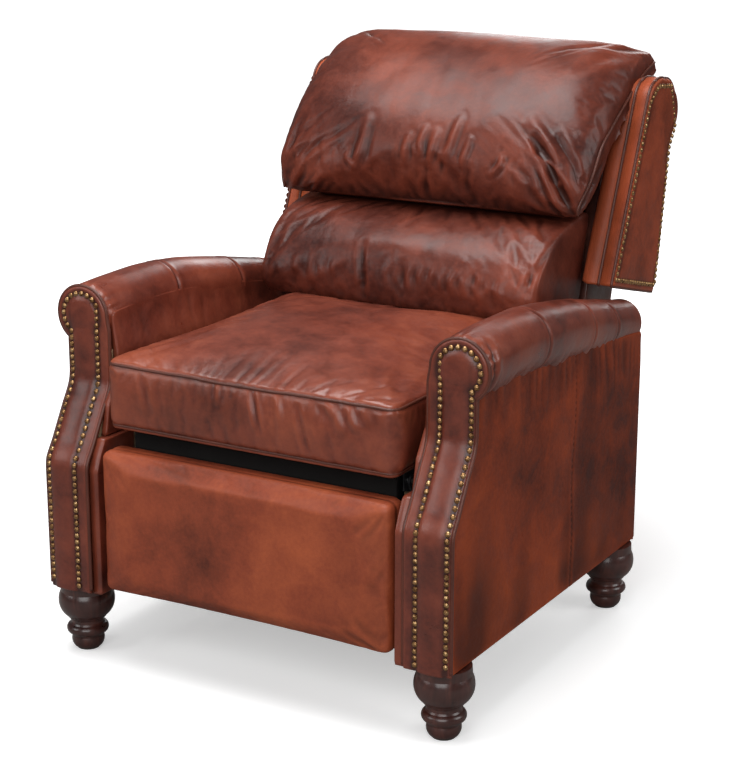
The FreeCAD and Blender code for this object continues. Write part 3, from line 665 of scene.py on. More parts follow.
def facing(side_name, side):
    """The keyhole-shaped arm front: padded between its nail rows, dented along them."""
    neck = HEAD_Z - math.sqrt(HEAD_R ** 2 - (LEG_OUTER - HEAD_X) ** 2)
    outline = trace([
        (LEG_INNER, ARM_BOTTOM), (LEG_OUTER, ARM_BOTTOM), (LEG_OUTER, neck),
        (HEAD_X + HEAD_R, HEAD_Z, HEAD_R), (HEAD_X, HEAD_Z + HEAD_R, HEAD_R),
        (HEAD_X - HEAD_R, HEAD_Z, HEAD_R), (LEG_INNER, HEAD_Z - 24)], 3.5)

    def off_nails(across, up):
        rows = np.min([np.abs(across - row) for row in NAIL_ROWS], 0)
        return rows, np.abs(np.hypot(across - HEAD_X, up - HEAD_Z) - NAIL_RING)

    def shape(across, up, deep):
        dent = 0.5 * bell(np.where(up < HEAD_Z - 14, *off_nails(across, up)), 5)
        half = (NAIL_ROWS[1] - NAIL_ROWS[0]) / 2 - 3
        off_middle = np.abs(across - sum(NAIL_ROWS) / 2) / half
        strip = np.sqrt(np.clip(1 - off_middle ** 2, 0, 1)) * (1 - ramp(up, HEAD_Z - 30, HEAD_Z))
        from_head = np.hypot(across - HEAD_X, up - HEAD_Z) / (NAIL_RING - 3)
        pad = 6.0 * np.maximum(strip, np.sqrt(np.clip(1 - from_head ** 2, 0, 1)))
        spots = columns(across, up)
        return pad - dent + 0.35 * lumps(spots, 34, 5) * ramp(deep, 2, 12)

    # Darker along the nail rows and ring, painted shade beside the nails with grime, and darker at
    # the foot of the facing.
    def darkening(points):
        up = points[:, 2]
        rows, ring = off_nails(np.abs(points[:, 0]), up)
        ring = np.where(up < HEAD_Z + 20, np.minimum(ring, rows), ring)
        near = np.where(up > HEAD_Z - 30, ring, rows)
        return 0.75 * bell(near, 7) + 0.5 * bell(up - ARM_BOTTOM, 14)

    shell = slab(outline, on_face(side), 5.0, 9.0, spacing=4.5, shape=shape)
    cover(f"facing_leather_{side_name}", shell, "chassis", ARM_LEATHER,
          [f"arm_facing_{side_name}"], 0.35, 9, darkening)
    edge = opened(outline[outline[:, 1] > ARM_BOTTOM + 4])
    rim = on_face(side)(edge[:, 0], edge[:, 1], np.full(len(edge), -4.5))
    middle, proud = 360, 0.6
    rim[:, 0] += proud * np.sign(rim[:, 0] - side * middle)
    welt(f"facing_welt_{side_name}", rim, 3.1, "chassis")


ROLL_LINE = np.array([(87, 604, 50), (150, 612, 51.5), (280, 607, 51.5), (440, 594, 51),
                      (610, 565, 50), (745, 543, 49)], float)
ROLL_SEAMS = (296, 500, 615)


def roll(side_name, side):
    """The padded roll: swollen between its cross seams and puckered along its lower seams."""
    start, end = ROLL_LINE[0, 0], ROLL_LINE[-1, 0]
    depths = np.arange(start, end + 1, 3.3)
    height = np.polyval(np.polyfit(ROLL_LINE[:, 0], ROLL_LINE[:, 1], 4), depths)
    radius = np.polyval(np.polyfit(ROLL_LINE[:, 0], ROLL_LINE[:, 2], 3), depths)
    angles = np.linspace(0, 2 * math.pi, 132, endpoint=False)
    depth, angle = np.meshgrid(depths, angles, indexing="ij")
    around = columns(depth.ravel(), np.sin(angle).ravel() * 60, np.cos(angle).ravel() * 60)
    turn = np.degrees(np.where(angle > math.pi, angle - 2 * math.pi, angle))
    off_seam = np.min([np.abs(depth - seam - 4 * np.sin(angle)) for seam in ROLL_SEAMS], 0)
    grow = -2.4 * bell(off_seam, 2.6) + 0.9 * bell(off_seam - 7, 5)
    grow += 0.8 * lumps(around, 120, 11 + side).reshape(depth.shape)
    lower = bell(np.abs(turn) - 146, 24)
    strips = columns(depth.ravel() + 0.16 * turn.ravel(), 0.05 * turn.ravel())
    pleats = np.abs(lumps(strips, 34, 21 + side)).reshape(depth.shape)
    grow += 2.4 * lower * (pleats - 0.7)
    outer = ramp(turn, 20, 70) * (1 - ramp(turn, 140, 175))
    tuck = depth - start - 17 - 7 * np.cos(angle)
    grow += outer * (2.8 * bell(tuck - 12, 9) - 3.4 * bell(tuck, 3.6))
    front = bell(depth - start, 26)
    spokes = np.sin(angle * 15 + 1.3 * np.sin(angle * 4 + side)) * ramp(depth, start, start + 7)
    grow += 1.1 * front * spokes - 2.6 * bell(depth - start, 5)
    grow -= 9 * ramp(depth, end - 10, end) ** 2
    taper = ramp(depths, 330, end)[:, None]
    narrowed, inset, drift = 1 - 0.16 * taper, 1.5, 19 * taper
    full = (radius[:, None] + grow) * narrowed
    centre = reach("arm_facing_left")[1].x - radius[:, None] * narrowed - inset - drift
    hang = 1 + 0.2 * ramp(depth, start, start + 60) * (1 - ramp(depth, 560, end))
    upright = np.where(np.cos(angle) < 0, hang, 1) * np.cos(angle)
    rings = np.stack([side * (centre + full * np.sin(angle)), depth,
                      height[:, None] + full * upright], 2)
    cap = [rings[-1] + (rings[-1].mean(0) - rings[-1]) * share + np.array([0, rise, 0])
           for share, rise in ((0.08, 2.4), (0.25, 4.2), (0.5, 5.4), (0.8, 6.0))]
    cover(f"roll_leather_{side_name}", loft(list(rings) + cap), "chassis", ARM_LEATHER,
          [f"arm_roll_{side_name}"], 0.7, 12)


def side_panel(side_name, side):
    """The outer side cover, sewn from two hides, pulled up into the seam under the roll."""
    gap = 10.5
    curve = trace(front_bends(gap) + [
        (SETBACK + gap, 572), (280, 570), (460, 560), (610, 544), (ARM_REAR, 528),
        (ARM_REAR, ARM_BOTTOM), (gap, ARM_BOTTOM)], 6.0)[::-1]
    join = 448

    def shape(depth, up, deep):
        spots = columns(depth, up)
        seam = np.abs(depth - join - 5 * np.sin(up / 60))
        below_roll = (562 - (depth - 86) * 62 / 659) - up
        pull = np.abs(lumps(columns(depth, up * 0.12), 42, 31 + side))
        height = -1.5 * bell(seam, 2.2) + 0.6 * bell(seam - 6, 4)
        height += 1.8 * (pull - 0.6) * bell(below_roll, 46)
        height += 1.1 * lumps(spots, 210, 41 + side) * ramp(deep, 5, 60)
        height += 0.5 * lumps(columns(depth, up * 0.35), 90, 51) * ramp(deep, 5, 40)
        return height

    # Darker towards the bottom and the lower front, in faint upright streaks, and on the rear hide
    # behind the seam.
    def darkening(points):
        _, y, z = points.T
        low = 0.4 * (1 - ramp(z, ARM_BOTTOM, 330))
        low += 0.35 * (1 - ramp(y, 80, 270)) * (1 - ramp(z, 220, 430))
        streaks = 0.22 * lumps(points[:, 1:] * np.array([1.0, 0.16]), 120, 43)
        return low + 0.22 * ramp(y, join, join + 30) + streaks

    shell = slab(curve, on_side(LEG_OUTER, side), 5.0, 8.0, crown=2.2, crown_reach=50.0,
                 spacing=6.5, shape=shape)
    cover(f"side_leather_{side_name}", shell, "chassis", SIDE_LEATHER, rounds=10, stain=darkening)
    inner = 300
    back = trace([(inner, ARM_BOTTOM), (LEG_OUTER - 1, ARM_BOTTOM), (LEG_OUTER - 1, 512),
                  (inner, 500)], 7.0)
    shell = slab(back, on_rear(ARM_REAR, side), 5.0, 9.0, crown=1.5, crown_reach=40.0)
    cover(f"arm_back_leather_{side_name}", shell, "chassis", SIDE_LEATHER,
          [f"arm_outer_panel_{side_name}"], rounds=8)


def inner_pad(side_name, side):
    """The inside of the arm: leather that falls from the roll down beside the seat."""
    low, high = reach("arm_inner_panel_left")
    line = np.polyfit(ROLL_LINE[:, 0], ROLL_LINE[:, 1], 4)
    tops = [(depth, np.polyval(line, depth) + 6) for depth in np.linspace(94, high.y, 12)]
    outline = trace([(48, low.z), (high.y, low.z)] + tops[::-1] + [(90, 505), (60, 458)], 7.0)

    def place(depth, up, height):
        below = np.polyval(line, depth) - up
        fall = low.x + 13.5 - 13 * ramp(below, -4, 90)
        return columns(side * (fall - height), depth, up)

    def shape(depth, up, deep):
        pull = np.abs(lumps(columns(depth, up * 0.2), 60, 61 + side))
        return 1.2 * (pull - 0.6) * ramp(deep, 3, 25)

    shell = slab(outline, place, 3.0, 11.0, crown=0.5, crown_reach=30.0, shape=shape)
    cover(f"arm_inner_leather_{side_name}", shell, "chassis", ARM_LEATHER,
          [f"arm_inner_panel_{side_name}"], 0.4, 10)


def front_liner(side_name, side):
    """Leather wrapped round the front of the arm's board, seen past the footrest."""
    low, high = reach("arm_board_left")
    proud, depth = 2.0, 116
    outline = trace([(low.y - proud, low.z), (depth, low.z), (depth, high.z + proud),
                     (34, high.z + proud), (20, KNEE + 27), (low.y - proud, KNEE)], 6.0)
    shell = slab(outline, on_side(low.x - proud, side, -1), 2.5,
                 high.x - low.x + proud - 0.5, spacing=8.0)
    cover(f"arm_front_liner_{side_name}", shell, "chassis", ARM_LEATHER, rounds=6)


for side_name, side in SIDES:
    facing(side_name, side)
    roll(side_name, side)
    side_panel(side_name, side)
    inner_pad(side_name, side)
    front_liner(side_name, side)


# ---- seat cushion

SEAT_HALF, SEAT_FRONT, SEAT_BACK = 283, 28, 597
SEAT_CORNER = 16
SEAT_LOW, SEAT_EDGE = 425, 540
SEAT_LOW_SEAM = SEAT_LOW + 8


def seat():
    """The seat: a crowned top over a soft front band, welted along both front edges."""
    outline = trace([
        (-SEAT_HALF + SEAT_CORNER, SEAT_FRONT), (SEAT_HALF - SEAT_CORNER, SEAT_FRONT),
        (SEAT_HALF, SEAT_FRONT + SEAT_CORNER, SEAT_CORNER), (SEAT_HALF - 4, SEAT_BACK),
        (-SEAT_HALF + 4, SEAT_BACK), (-SEAT_HALF, SEAT_FRONT + SEAT_CORNER),
        (-SEAT_HALF + SEAT_CORNER, SEAT_FRONT, SEAT_CORNER)], 8.0)

    def flat(across, depth, height):
        return columns(across, depth, SEAT_EDGE + 4 + height)

    def rise(across, depth, deep):
        return 14 * ramp(depth, 90, 420) * ramp(deep, 0, 50)

    shell = slab(outline, flat, 6.0, SEAT_EDGE + 4 - SEAT_LOW, crown=26.0, crown_reach=85.0,
                 spacing=12.0, shape=rise)
    loop = closed(outline)

    def pinned(points):
        _, y, z = points.T
        rim = off_path(points[:, :2], loop)[0] < 7
        edge = (np.abs(z - SEAT_EDGE) < 5) | (z < SEAT_LOW + 7)
        return (rim & edge) | (z < SEAT_LOW + 2) | (y > SEAT_BACK - 4)

    mesh = stuffed("seat_cushion_leather", shell, pinned, 24, 8.0, 0.008)
    points, normals = read_points(mesh), normals_of(mesh)
    x, y, z = points.T
    front = ramp(-normals[:, 1], 0.2, 0.7)
    top = ramp(normals[:, 2], 0.3, 0.8)
    rim_distance = off_path(points[:, :2], loop)[0]
    grow = np.zeros(len(points))
    for seam_z in (SEAT_EDGE, SEAT_LOW_SEAM):
        off = np.hypot(np.minimum(rim_distance, 60), z - seam_z)
        grow -= 2.6 * bell(off, 6)
    band = columns(x + 0.25 * z, z * 0.16)
    soft = np.abs(lumps(band, 58, 71)) - 0.6
    grow += front * 1.5 * soft * (0.4 + 0.6 * ramp(x, -120, 160))
    broad = points[:, :2] * np.array([1.0, 0.8])
    grow += top * (1.6 * lumps(broad, 240, 72) + 0.5 * lumps(broad, 85, 73))
    near_front = bell(y - SEAT_FRONT, 46) * top
    pulls = np.abs(lumps(columns(x, y * 0.22), 40, 74)) - 0.6
    grow += 1.0 * near_front * pulls
    grow += fold_height(points[:, :2], [
        ([(-250, 60), (-200, 130), (-170, 220)], 9, 1.6),
        ([(252, 70), (214, 120), (196, 190)], 9, 1.8),
        ([(262, 90), (244, 170), (236, 260)], 8, 1.4),
        ([(-262, 400), (-225, 470), (-190, 560)], 10, 1.6),
        ([(250, 430), (222, 500), (180, 570)], 10, 1.6)]) * top
    grow += fold_height(points[:, [0, 2]], [
        ([(-52, 536), (-50, 522), (-50, 506)], 5, 2.2),
        ([(14, 538), (24, 505), (32, 470)], 4.5, -3.0),
        ([(62, 536), (68, 515), (72, 492)], 6, 2.4),
        ([(104, 520), (112, 490), (120, 452)], 5, -2.4),
        ([(150, 536), (172, 520), (184, 500)], 7, 2.6),
        ([(198, 534), (206, 514), (222, 498)], 7, 2.4),
        ([(-206, 530), (-196, 500), (-190, 468)], 6, -1.8)]) * front
    write_points(mesh, points + normals * grow[:, None])

    # Painted shade at the bottom seam, towards the back under the pillows and at the sides against
    # the arms; lighter where the front is rubbed.
    def darkening(points):
        x, y, z = points.T
        low = 0.35 * bell(z - SEAT_LOW, 16)
        rear = 0.8 * ramp(y, SEAT_BACK - 150, SEAT_BACK - 40)
        sides = 0.5 * ramp(np.abs(x), SEAT_HALF - 22, SEAT_HALF)
        rubbed = 0.5 * bell(x + 190, 110) * bell(y - SEAT_FRONT, 50)
        rubbed += 0.35 * bell(x - 120, 190) * bell(y - SEAT_FRONT, 110)
        return low + rear + sides - rubbed

    piece(mesh, "seat", "seat_leather", SEAT_LEATHER, ["seat_cushion"], 0.85, stain=darkening)
    forward = opened(outline[outline[:, 1] < SEAT_BACK - 30])
    for label, seam_z, radius in (("top", SEAT_EDGE, 2.6), ("bottom", SEAT_LOW_SEAM, 2.1)):
        path = np.insert(forward, 2, seam_z, 1)
        welt(f"seat_welt_{label}", snapped(path, mesh, 1.0), radius, "seat", "seat_leather")


seat()


# ---- back pillows

def bolster(middle, end, half_low, half_high, levels, rear_from=None, rear_edge=286,
            flare=0.0):
    """A long stuffed form: one closed side profile in the middle, easing to another at its ends.

    It widens from half_low to half_high between two levels. From the profile's corner rear_from
    on, it steps in at rear_edge, where the wings stand, and is flare wider each side.
    """
    middle, end = closed(middle), closed(end)
    corner = np.linspace(0, len(middle) - 1, 150)[:-1]
    middle, end = spline(middle, 150)[:-1], spline(end, 150)[:-1]
    behind = np.zeros(len(corner)) if rear_from is None else ramp(corner, rear_from - 1, rear_from)
    rings = []
    for share in np.sin(np.linspace(-math.pi / 2, math.pi / 2, 81)):
        half = half_low + (half_high - half_low) * ramp(middle[:, 1], *levels)
        half = half + flare * behind
        ease = (1 - abs(share) ** 7) ** 0.5
        step_in = 1 - ramp(abs(share) * half_high, rear_edge, rear_edge + 8)
        ease = ease * (1 - behind) + min(ease, step_in) * behind
        profile = end + (middle - end) * ease[:, None]
        rings.append(columns(share * half, profile[:, 0], profile[:, 1]))
    return loft(rings)


LUMBAR_MIDDLE = [(520, 570), (502, 596), (505, 630), (530, 672), (574, 708), (624, 730),
                 (680, 738), (738, 738), (722, 655), (702, 574), (600, 568)]
LUMBAR_END = [(536, 572), (524, 598), (530, 632), (554, 672), (592, 704), (634, 722),
              (686, 732), (737, 734), (721, 655), (701, 577), (612, 571)]
HEAD_MIDDLE = [(648, 742), (617, 758), (606, 798), (617, 840), (646, 886), (698, 942),
               (756, 990), (812, 1018), (860, 1027), (912, 1018), (946, 996), (954, 968),
               (934, 948), (880, 956), (824, 964), (790, 880), (744, 750), (694, 740)]
HEAD_END = [(632, 741), (634, 768), (648, 808), (676, 850), (700, 876), (731, 902), (762, 924),
            (798, 948), (838, 978), (878, 1008), (913, 1019), (943, 1015), (955, 990),
            (932, 968), (868, 946), (800, 904), (748, 848), (700, 788)]


PILLOW_JOINT = 738


def lumbar():
    """The lower pillow, gathered into short upright wrinkles along its middle."""
    shell = bolster(LUMBAR_MIDDLE, LUMBAR_END, 287, 288, (560, 740))

    def pinned(points):
        x, y, z = points.T
        return (y > 660) | (z < 574) | (np.abs(x) > 283)

    mesh = stuffed("lumbar_pillow_leather", shell, pinned, 22, 4.0, 0.008)
    points, normals = read_points(mesh), normals_of(mesh)
    front = ramp(-normals[:, 1] + 0.4 * normals[:, 2], 0.15, 0.7)
    x, z = points[:, 0], points[:, 2]
    strips = columns(x + 0.2 * z, z * 0.16)
    gathers = np.abs(lumps(strips, 46, 81)) - 0.65
    grow = front * gathers * (0.9 * bell(z - 632, 26) + 0.2)
    grow += front * 0.9 * lumps(points, 150, 82)
    short = [([(px, 612), (px - 5, 634), (px + 2, 652)], 6.5, 0.62 * rise) for px, rise in (
        (-236, 2.0), (-200, 1.8), (-166, 2.6), (-116, 2.6), (-92, -2.2), (-6, 2.4), (16, 1.8),
        (40, 2.8), (62, 2.0), (88, 2.8), (108, 2.0), (130, 2.8), (156, 2.2), (182, 3.0),
        (222, 3.2))]
    long = [([(-57, 588), (-62, 634), (-68, 680)], 6, -3.4),
            ([(262, 612), (280, 661), (292, 706)], 7, -3.4),
            ([(266, 616), (276, 640), (286, 672)], 6, 2.6),
            ([(-276, 604), (-262, 650), (-258, 706)], 7, -2.4)]
    grow += front * fold_height(columns(x, z), short + long)
    write_points(mesh, points + normals * grow[:, None])

    # Painted shade at its foot on the seat and at its joint under the head pillow.
    def darkening(points):
        return 0.5 * bell(points[:, 2] - 566, 22) + 0.75 * bell(points[:, 2] - PILLOW_JOINT, 16)

    piece(mesh, "back", "seat_leather", PILLOW_LEATHER, ["lumbar_pillow"], 0.8, stain=darkening)


HEAD_HALF = 322
HEAD_SIDE_SEAM = [(614, 739), (657, 803), (696, 861), (738, 891), (798, 929), (878, 975),
                  (934, 994)]


def head():
    """The upper pillow: a high smooth crown that rolls over the back, drawn into folds below."""
    shell = bolster(HEAD_MIDDLE, HEAD_END, 308, HEAD_HALF, (PILLOW_JOINT, 800), 13,
                    flare=9.0)

    def pinned(points):
        x, y, z = points.T
        x = np.abs(x)
        behind = (y > 700 + (z - 750) * 0.45) & (z < 950)
        seam = off_path(points[:, 1:], HEAD_SIDE_SEAM)[0] < 8
        return behind | (z < 748) | (x > HEAD_HALF + 2) | (seam & (x > 306))

    mesh = stuffed("head_pillow_leather", shell, pinned, 24, 3.5, 0.008)
    points, normals = read_points(mesh), normals_of(mesh)
    x, z = points[:, 0], points[:, 2]
    front = ramp(-normals[:, 1] + 0.5 * normals[:, 2], 0.1, 0.6)
    strips = columns(x + 0.15 * z, z * 0.14)
    gathers = np.abs(lumps(strips, 50, 91)) - 0.65
    grow = front * gathers * (1.2 * bell(z - 826, 36) + 0.15)
    grow += front * (1.8 * lumps(points, 230, 92) + 0.5 * lumps(points, 90, 93))
    upright = [([(px - lean, low), (px, (low + high) / 2), (px + 4, high)], wide, rise)
               for px, lean, low, high, wide, rise in (
                   (-122, 18, 798, 890, 8, 4.4), (-150, -16, 806, 836, 5, 2.4),
                   (-28, 1, 822, 870, 6, 3.4), (2, -3, 842, 886, 5, 2.6),
                   (27, 5, 822, 880, 6, 3.6), (64, 8, 834, 904, 6.5, 3.8),
                   (95, 7, 828, 872, 5.5, 3.2), (12, 6, 762, 820, 6, -2.6),
                   (100, 5, 784, 826, 6, -2.4), (46, 2, 800, 836, 6, -2.4),
                   (164, 15, 814, 850, 5, 2.6))]
    diagonal = [
        ([(205, 912), (262, 858), (304, 790)], 8, 5.0),
        ([(222, 884), (262, 820), (300, 752)], 7, -5.0),
        ([(241, 852), (264, 798), (298, 738)], 7, 5.4),
        ([(262, 884), (296, 842), (316, 800)], 6, -3.6),
        ([(206, 838), (226, 818), (240, 800)], 6, 2.6),
        ([(-300, 740), (-280, 764), (-258, 790)], 7, 3.6),
        ([(-248, 742), (-230, 764), (-210, 786)], 6, 3.2),
        ([(-300, 800), (-284, 850), (-270, 890)], 7, -2.8),
        ([(250, 1000), (284, 1012), (312, 1006)], 8, -3.4),
        ([(-300, 980), (-270, 1006), (-226, 1014)], 9, -2.8)]
    grow += front * fold_height(columns(x, z), upright + diagonal)
    write_points(mesh, points + normals * grow[:, None])

    # Painted shade at its foot, where it sits on the lumbar pillow; darker along the side seams.
    def darkening(points):
        low = 0.9 * bell(points[:, 2] - PILLOW_JOINT, 34)
        return low + 0.5 * bell(off_path(points[:, 1:], HEAD_SIDE_SEAM)[0], 7) \
            * ramp(np.abs(points[:, 0]), 304, 314)

    piece(mesh, "back", "seat_leather", PILLOW_LEATHER, ["head_pillow"], 0.9, stain=darkening)
    for side_name, side in SIDES:
        path = np.insert(spline(HEAD_SIDE_SEAM, 60), 0, side * (HEAD_HALF - 1), 1)
        welt(f"head_welt_{side_name}", snapped(path, mesh, 1.0), 2.6, "back", "seat_leather")


lumbar()
head()


# ---- wings, back and footrest

WING_INNER, WING_OUTER = reach("wing_left")[0].x, reach("wing_left")[1].x
WING_OUTLINE = [(826, 944, 48), (686, 618), (880, 570), (903, 632), (922, 755), (928, 812, 160),
                (962, 880, -90), (952, 940, 44), (900, 970, 56), (862, 970, 60)]


def wing(side_name, side):
    """A padded wing: a nailed outer face with a welt round it, and a soft boxed edge."""
    outline = trace(WING_OUTLINE, 5.0)

    def shape(depth, up, deep):
        spots = columns(depth, up)
        return -0.6 * bell(deep - 12, 5) + 0.9 * lumps(spots, 120, 101) * ramp(deep, 16, 40)

    outer = slab(outline, on_side(WING_OUTER, side), 7.0, 30.0, crown=2.6, crown_reach=40.0,
                 spacing=6.0, shape=shape)
    inner = slab(outline, on_side(WING_INNER + 2, side, -1), 16.0, 42.0, crown=4.0,
                 crown_reach=50.0)
    loop = closed(outline)

    # Painted shade over the whole inner, boxed part, which sits in the pillow's shadow, and painted
    # shade with grime along the nailed border.
    def darkening(points):
        on_outer = ramp(np.abs(points[:, 0]), WING_OUTER - 8, WING_OUTER - 4)
        nailed = 0.7 * bell(off_path(points[:, 1:], loop)[0] - 13, 6)
        return nailed * on_outer + 0.75 * (1 - on_outer)

    cover(f"wing_leather_{side_name}", merged(outer, inner), "back", WING_LEATHER,
          [f"wing_{side_name}"], 0.5, 9, darkening)
    for label, x in (("outer", WING_OUTER - 5.5), ("inner", WING_OUTER - 31)):
        rim = np.insert(loop, 0, side * x, 1)
        welt(f"wing_welt_{label}_{side_name}", rim, 2.7, "back")


for side_name, side in SIDES:
    wing(side_name, side)

HINGE = np.array([760.0, 440.0])
LEAN = math.radians(15)


def in_back(out, side=1, turn=1):
    """Puts a flat shape (across, up) on a plane of the leaning back, out mm behind its hinge."""
    def place(across, up, height):
        rear = out + turn * height
        return columns(side * across, HINGE[0] + rear * math.cos(LEAN) + up * math.sin(LEAN),
                       HINGE[1] - rear * math.sin(LEAN) + up * math.cos(LEAN))
    return place


def back_cover():
    """The outer back: one hide over the whole back, with a seam down its middle."""
    def shape(across, up, deep):
        seam = np.abs(across)
        return 1.3 * lumps(columns(across, up), 230, 111) * ramp(deep, 5, 60) \
            - 1.6 * bell(seam, 2.4) + 0.6 * bell(seam - 6, 4)

    half, low, high, face = 291, -26, 535, 54
    shell = slab(rectangle(-half, low, half, high), in_back(face), 6.0, 9.5, crown=3.0,
                 crown_reach=70.0, spacing=8.0, shape=shape)
    cover("back_cover_leather", shell, "back", SIDE_LEATHER, ["back_outer_panel"], rounds=9)


def rear_cover():
    """The lower rear panel between the arms."""
    low, high = reach("rear_lower_panel")
    shell = slab(rectangle(low.x, low.z, high.x, high.z), on_rear(high.y), 4.0,
                 high.y - low.y - 0.5, crown=2.0, crown_reach=40.0, spacing=8.0)
    cover("rear_cover_leather", shell, "chassis", SIDE_LEATHER, ["rear_lower_panel"], rounds=9)


def footrest():
    """The footrest pad: a tight broad face with a seam behind its front edges."""
    low, high = reach("footrest_pad")
    half, bottom, top = high.x - 2, low.z + 2, high.z - 2
    corner = 12
    outline = trace([
        (-half + corner, bottom), (half - corner, bottom), (half, bottom + corner, corner),
        (half, top - corner), (half - corner, top, corner), (-half + corner, top),
        (-half, top - corner, corner), (-half, bottom + corner),
        (-half + corner, bottom, corner)], 8.0)
    shell = slab(outline, on_rear(5, turn=-1), 13.0, 50.0, crown=3.0, spacing=12.0)
    mesh = stuffed("footrest_leather", shell, lambda p: p[:, 1] > 22, 7, 1.5, 0.002)
    points, normals = read_points(mesh), normals_of(mesh)
    front = ramp(-normals[:, 1], 0.3, 0.8)
    spots = points[:, [0, 2]]
    grow = front * (0.7 * lumps(spots, 190, 121) + 0.25 * lumps(spots, 60, 122))
    seam = 32
    grow -= 1.8 * bell(points[:, 1] - seam, 3)
    write_points(mesh, points + normals * grow[:, None])

    # Darker towards its right side and its foot, lighter left of its middle.
    def darkening(points):
        x, _, z = points.T
        right = 0.3 * ramp(x, 80, half)
        low = 0.25 * (1 - ramp(z, bottom, bottom + 90))
        return right + low - 0.3 * bell(x + 150, 120) * bell(z - 330, 70)

    piece(mesh, "footrest", "seat_leather", REST_LEATHER, ["footrest_pad"], 0.6, stain=darkening)


def post_sleeve(side_name, side):
    """Leather wrapped round a post of the back, seen beside the pillows."""
    inner, outer, low, high, front, rear = 266, 292, -26, 527, -72.5, 43
    shell = slab(rectangle(inner, low, outer, high), in_back(front, side, -1), 3.0,
                 rear - front, spacing=9.0)
    cover(f"back_post_leather_{side_name}", shell, "back", WELT_LEATHER,
          [f"back_post_{side_name}"], rounds=6)


def cloth_wrap(node, name, body, facing_rear=False):
    """Black dust cloth tacked round a straight cross piece."""
    low, high = reach(node)
    proud = 1.5
    outline = rectangle(low.x - proud, low.z - proud, high.x + proud, high.z + proud)
    place = on_rear(high.y + proud) if facing_rear else on_rear(low.y - proud, turn=-1)

    def sag(across, up, deep):
        return 0.8 * lumps(columns(across, up), 120, 131) * ramp(deep, 4, 30)

    shell = slab(outline, place, 2.0, high.y - low.y + proud, spacing=9.0, shape=sag)
    cover(name, shell, body, BLACK_CLOTH, [node], rounds=6, slot="seat_leather")


def back_cloth():
    """Black cloth over the board behind the pillows, seen when the back leans away."""
    half, low, high, face = 266, -20, 526, 29

    def sag(across, up, deep):
        return 1.2 * lumps(columns(across, up), 160, 141) * ramp(deep, 4, 50)

    shell = slab(rectangle(-half, low, half, high, 9.0), in_back(face, turn=-1), 1.5, 2.2,
                 spacing=10.0, shape=sag)
    cloth = cover("back_front_cloth", shell, "back", BLACK_CLOTH, rounds=6, slot="seat_leather")


for side_name, side in SIDES:
    post_sleeve(side_name, side)
# Over the seat rail the black cloth also stands in for the shade in the gap between seat and
# footrest.
cloth_wrap("seat_front_rail", "seat_rail_shade_cloth", "seat")
cloth_wrap("footrest_board", "footrest_back_cloth", "footrest", facing_rear=True)
back_cloth()
back_cover()
rear_cover()
footrest()


# ---- finishes of the CAD nodes

FINISHES = (
    ("_nails", BRASS), ("foot_glides", PLASTIC), ("foot_", TURNED_WOOD), ("_pins", PLATED),
    ("_post", FRAME_WOOD), ("_board", FRAME_WOOD), ("_stretcher", FRAME_WOOD),
    ("_front_rail", FRAME_WOOD), ("_rear_rail", FRAME_WOOD), ("arm_", SIDE_LEATHER),
    ("wing_left", SIDE_LEATHER), ("wing_right", SIDE_LEATHER), ("_panel", SIDE_LEATHER),
    ("_pad", SEAT_LEATHER), ("_pillow", SEAT_LEATHER), ("_cushion", SEAT_LEATHER))


def node_finish(name):
    """The finish of a carried-over CAD node, by the first of these words in its name."""
    return next((finish for word, finish in FINISHES if word in name), COATED)


for name, node in frame["nodes"].items():
    node.data.materials.clear()
    node.data.materials.append(node_finish(name))


# ---- floor, light and camera

def aimed(name, data, spot, aim):
    """A lamp or camera at a spot, turned towards another."""
    thing = shown(name, data)
    thing.location = spot
    thing.rotation_euler = (Vector(aim) - Vector(spot)).to_track_quat("-Z", "Y").to_euler()
    return thing


def softbox(name, spot, aim, width, height, power):
    """A rectangular lamp. Its sizes are in metres and its power in watts."""
    lamp = bpy.data.lights.new(name, "AREA")
    lamp.shape = "RECTANGLE"
    lamp.size, lamp.size_y = width, height
    lamp.energy = power
    aimed(name, lamp, spot, aim)


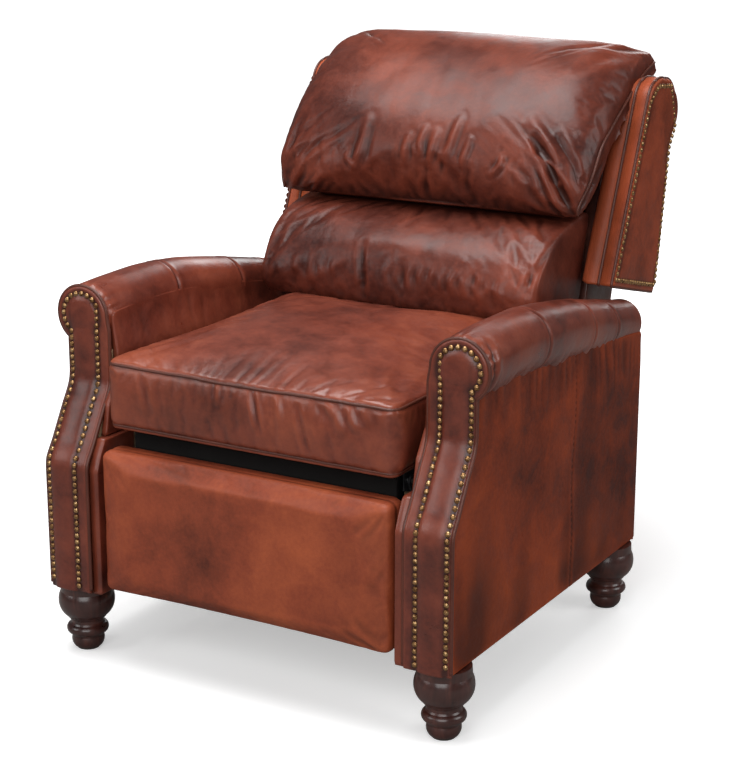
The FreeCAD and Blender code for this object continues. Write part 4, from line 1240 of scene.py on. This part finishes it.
def floor():
    """A plain pale floor that fades to white away from the chair."""
    half = 30.0
    mesh = bpy.data.meshes.new("floor")
    mesh.from_pydata([(-half, -half, 0), (half, -half, 0), (half, half, 0), (-half, half, 0)],
                     [], [(0, 1, 2, 3)])
    n = Nodes("floor_white")
    tint = n.ramp(n.noise(3.0, 2.0), [(0.3, (0.86, 0.86, 0.86)), (0.7, (0.9, 0.9, 0.9))])
    away = n.add("ShaderNodeVectorMath", {0: n.place}, operation="LENGTH").outputs["Value"]
    n.finish(Base_Color=tint, Roughness=0.9, Specular_IOR_Level=0.0,
             Emission_Color=(1, 1, 1, 1), Emission_Strength=n.remap(away, 0.9, 3.0, 0.42, 1.1))
    dim = n.add("ShaderNodeBsdfDiffuse", {"Color": (0.3, 0.29, 0.28, 1)}).outputs[0]
    lit_by(n.tree, dim, n.shader.outputs[0], n.tree.nodes["Material Output"])
    mesh.materials.append(n.material)
    thing = shown("floor", mesh)
    thing.location.z = -0.0005


def lit_by(tree, felt, seen, output):
    """Shows one shader to the camera and lets another one light the chair."""
    rays = tree.nodes.new("ShaderNodeLightPath")
    mix = tree.nodes.new("ShaderNodeMixShader")
    tree.links.new(rays.outputs["Is Camera Ray"], mix.inputs["Fac"])
    tree.links.new(felt, mix.inputs[1])
    tree.links.new(seen, mix.inputs[2])
    tree.links.new(mix.outputs[0], output.inputs["Surface"])


def world():
    """White to the camera, a dark studio to the chair."""
    scene = bpy.context.scene
    scene.world = bpy.data.worlds.new("studio")
    scene.world.use_nodes = True
    tree = scene.world.node_tree
    seen = tree.nodes["Background"]
    felt = tree.nodes.new("ShaderNodeBackground")
    for shader, strength in ((seen, 1.1), (felt, 0.12)):
        shader.inputs["Color"].default_value = (1, 1, 1, 1)
        shader.inputs["Strength"].default_value = strength
    lit_by(tree, felt.outputs[0], seen.outputs[0], tree.nodes["World Output"])


def camera():
    """The photo's view, as fitted to points of the chair."""
    lens = bpy.data.cameras.new("camera")
    lens.lens = 90.7
    bpy.context.scene.camera = aimed("camera", lens, (1.6944, -2.9616, 1.3874),
                                     (0.027, -0.1126, 0.465))


floor()
world()
camera()
for lamp in (("overhead", (-0.3, -0.45, 3.2), (0, -0.05, 0.7), 2.4, 1.6, 86),
             ("front", (1.5, -4.3, 2.5), (0, -0.2, 0.5), 3.4, 3.0, 104),
             ("left", (-3.0, -3.6, 2.4), (0, -0.1, 0.6), 2.2, 2.2, 44),
             ("right", (4.0, 0.9, 2.5), (0.3, 0, 0.5), 2.4, 2.2, 56),
             ("rear", (-0.8, 4.4, 2.4), (0, 0.2, 0.5), 2.6, 2.2, 62)):
    softbox(*lamp)
bpy.context.scene.view_settings.view_transform = "Standard"
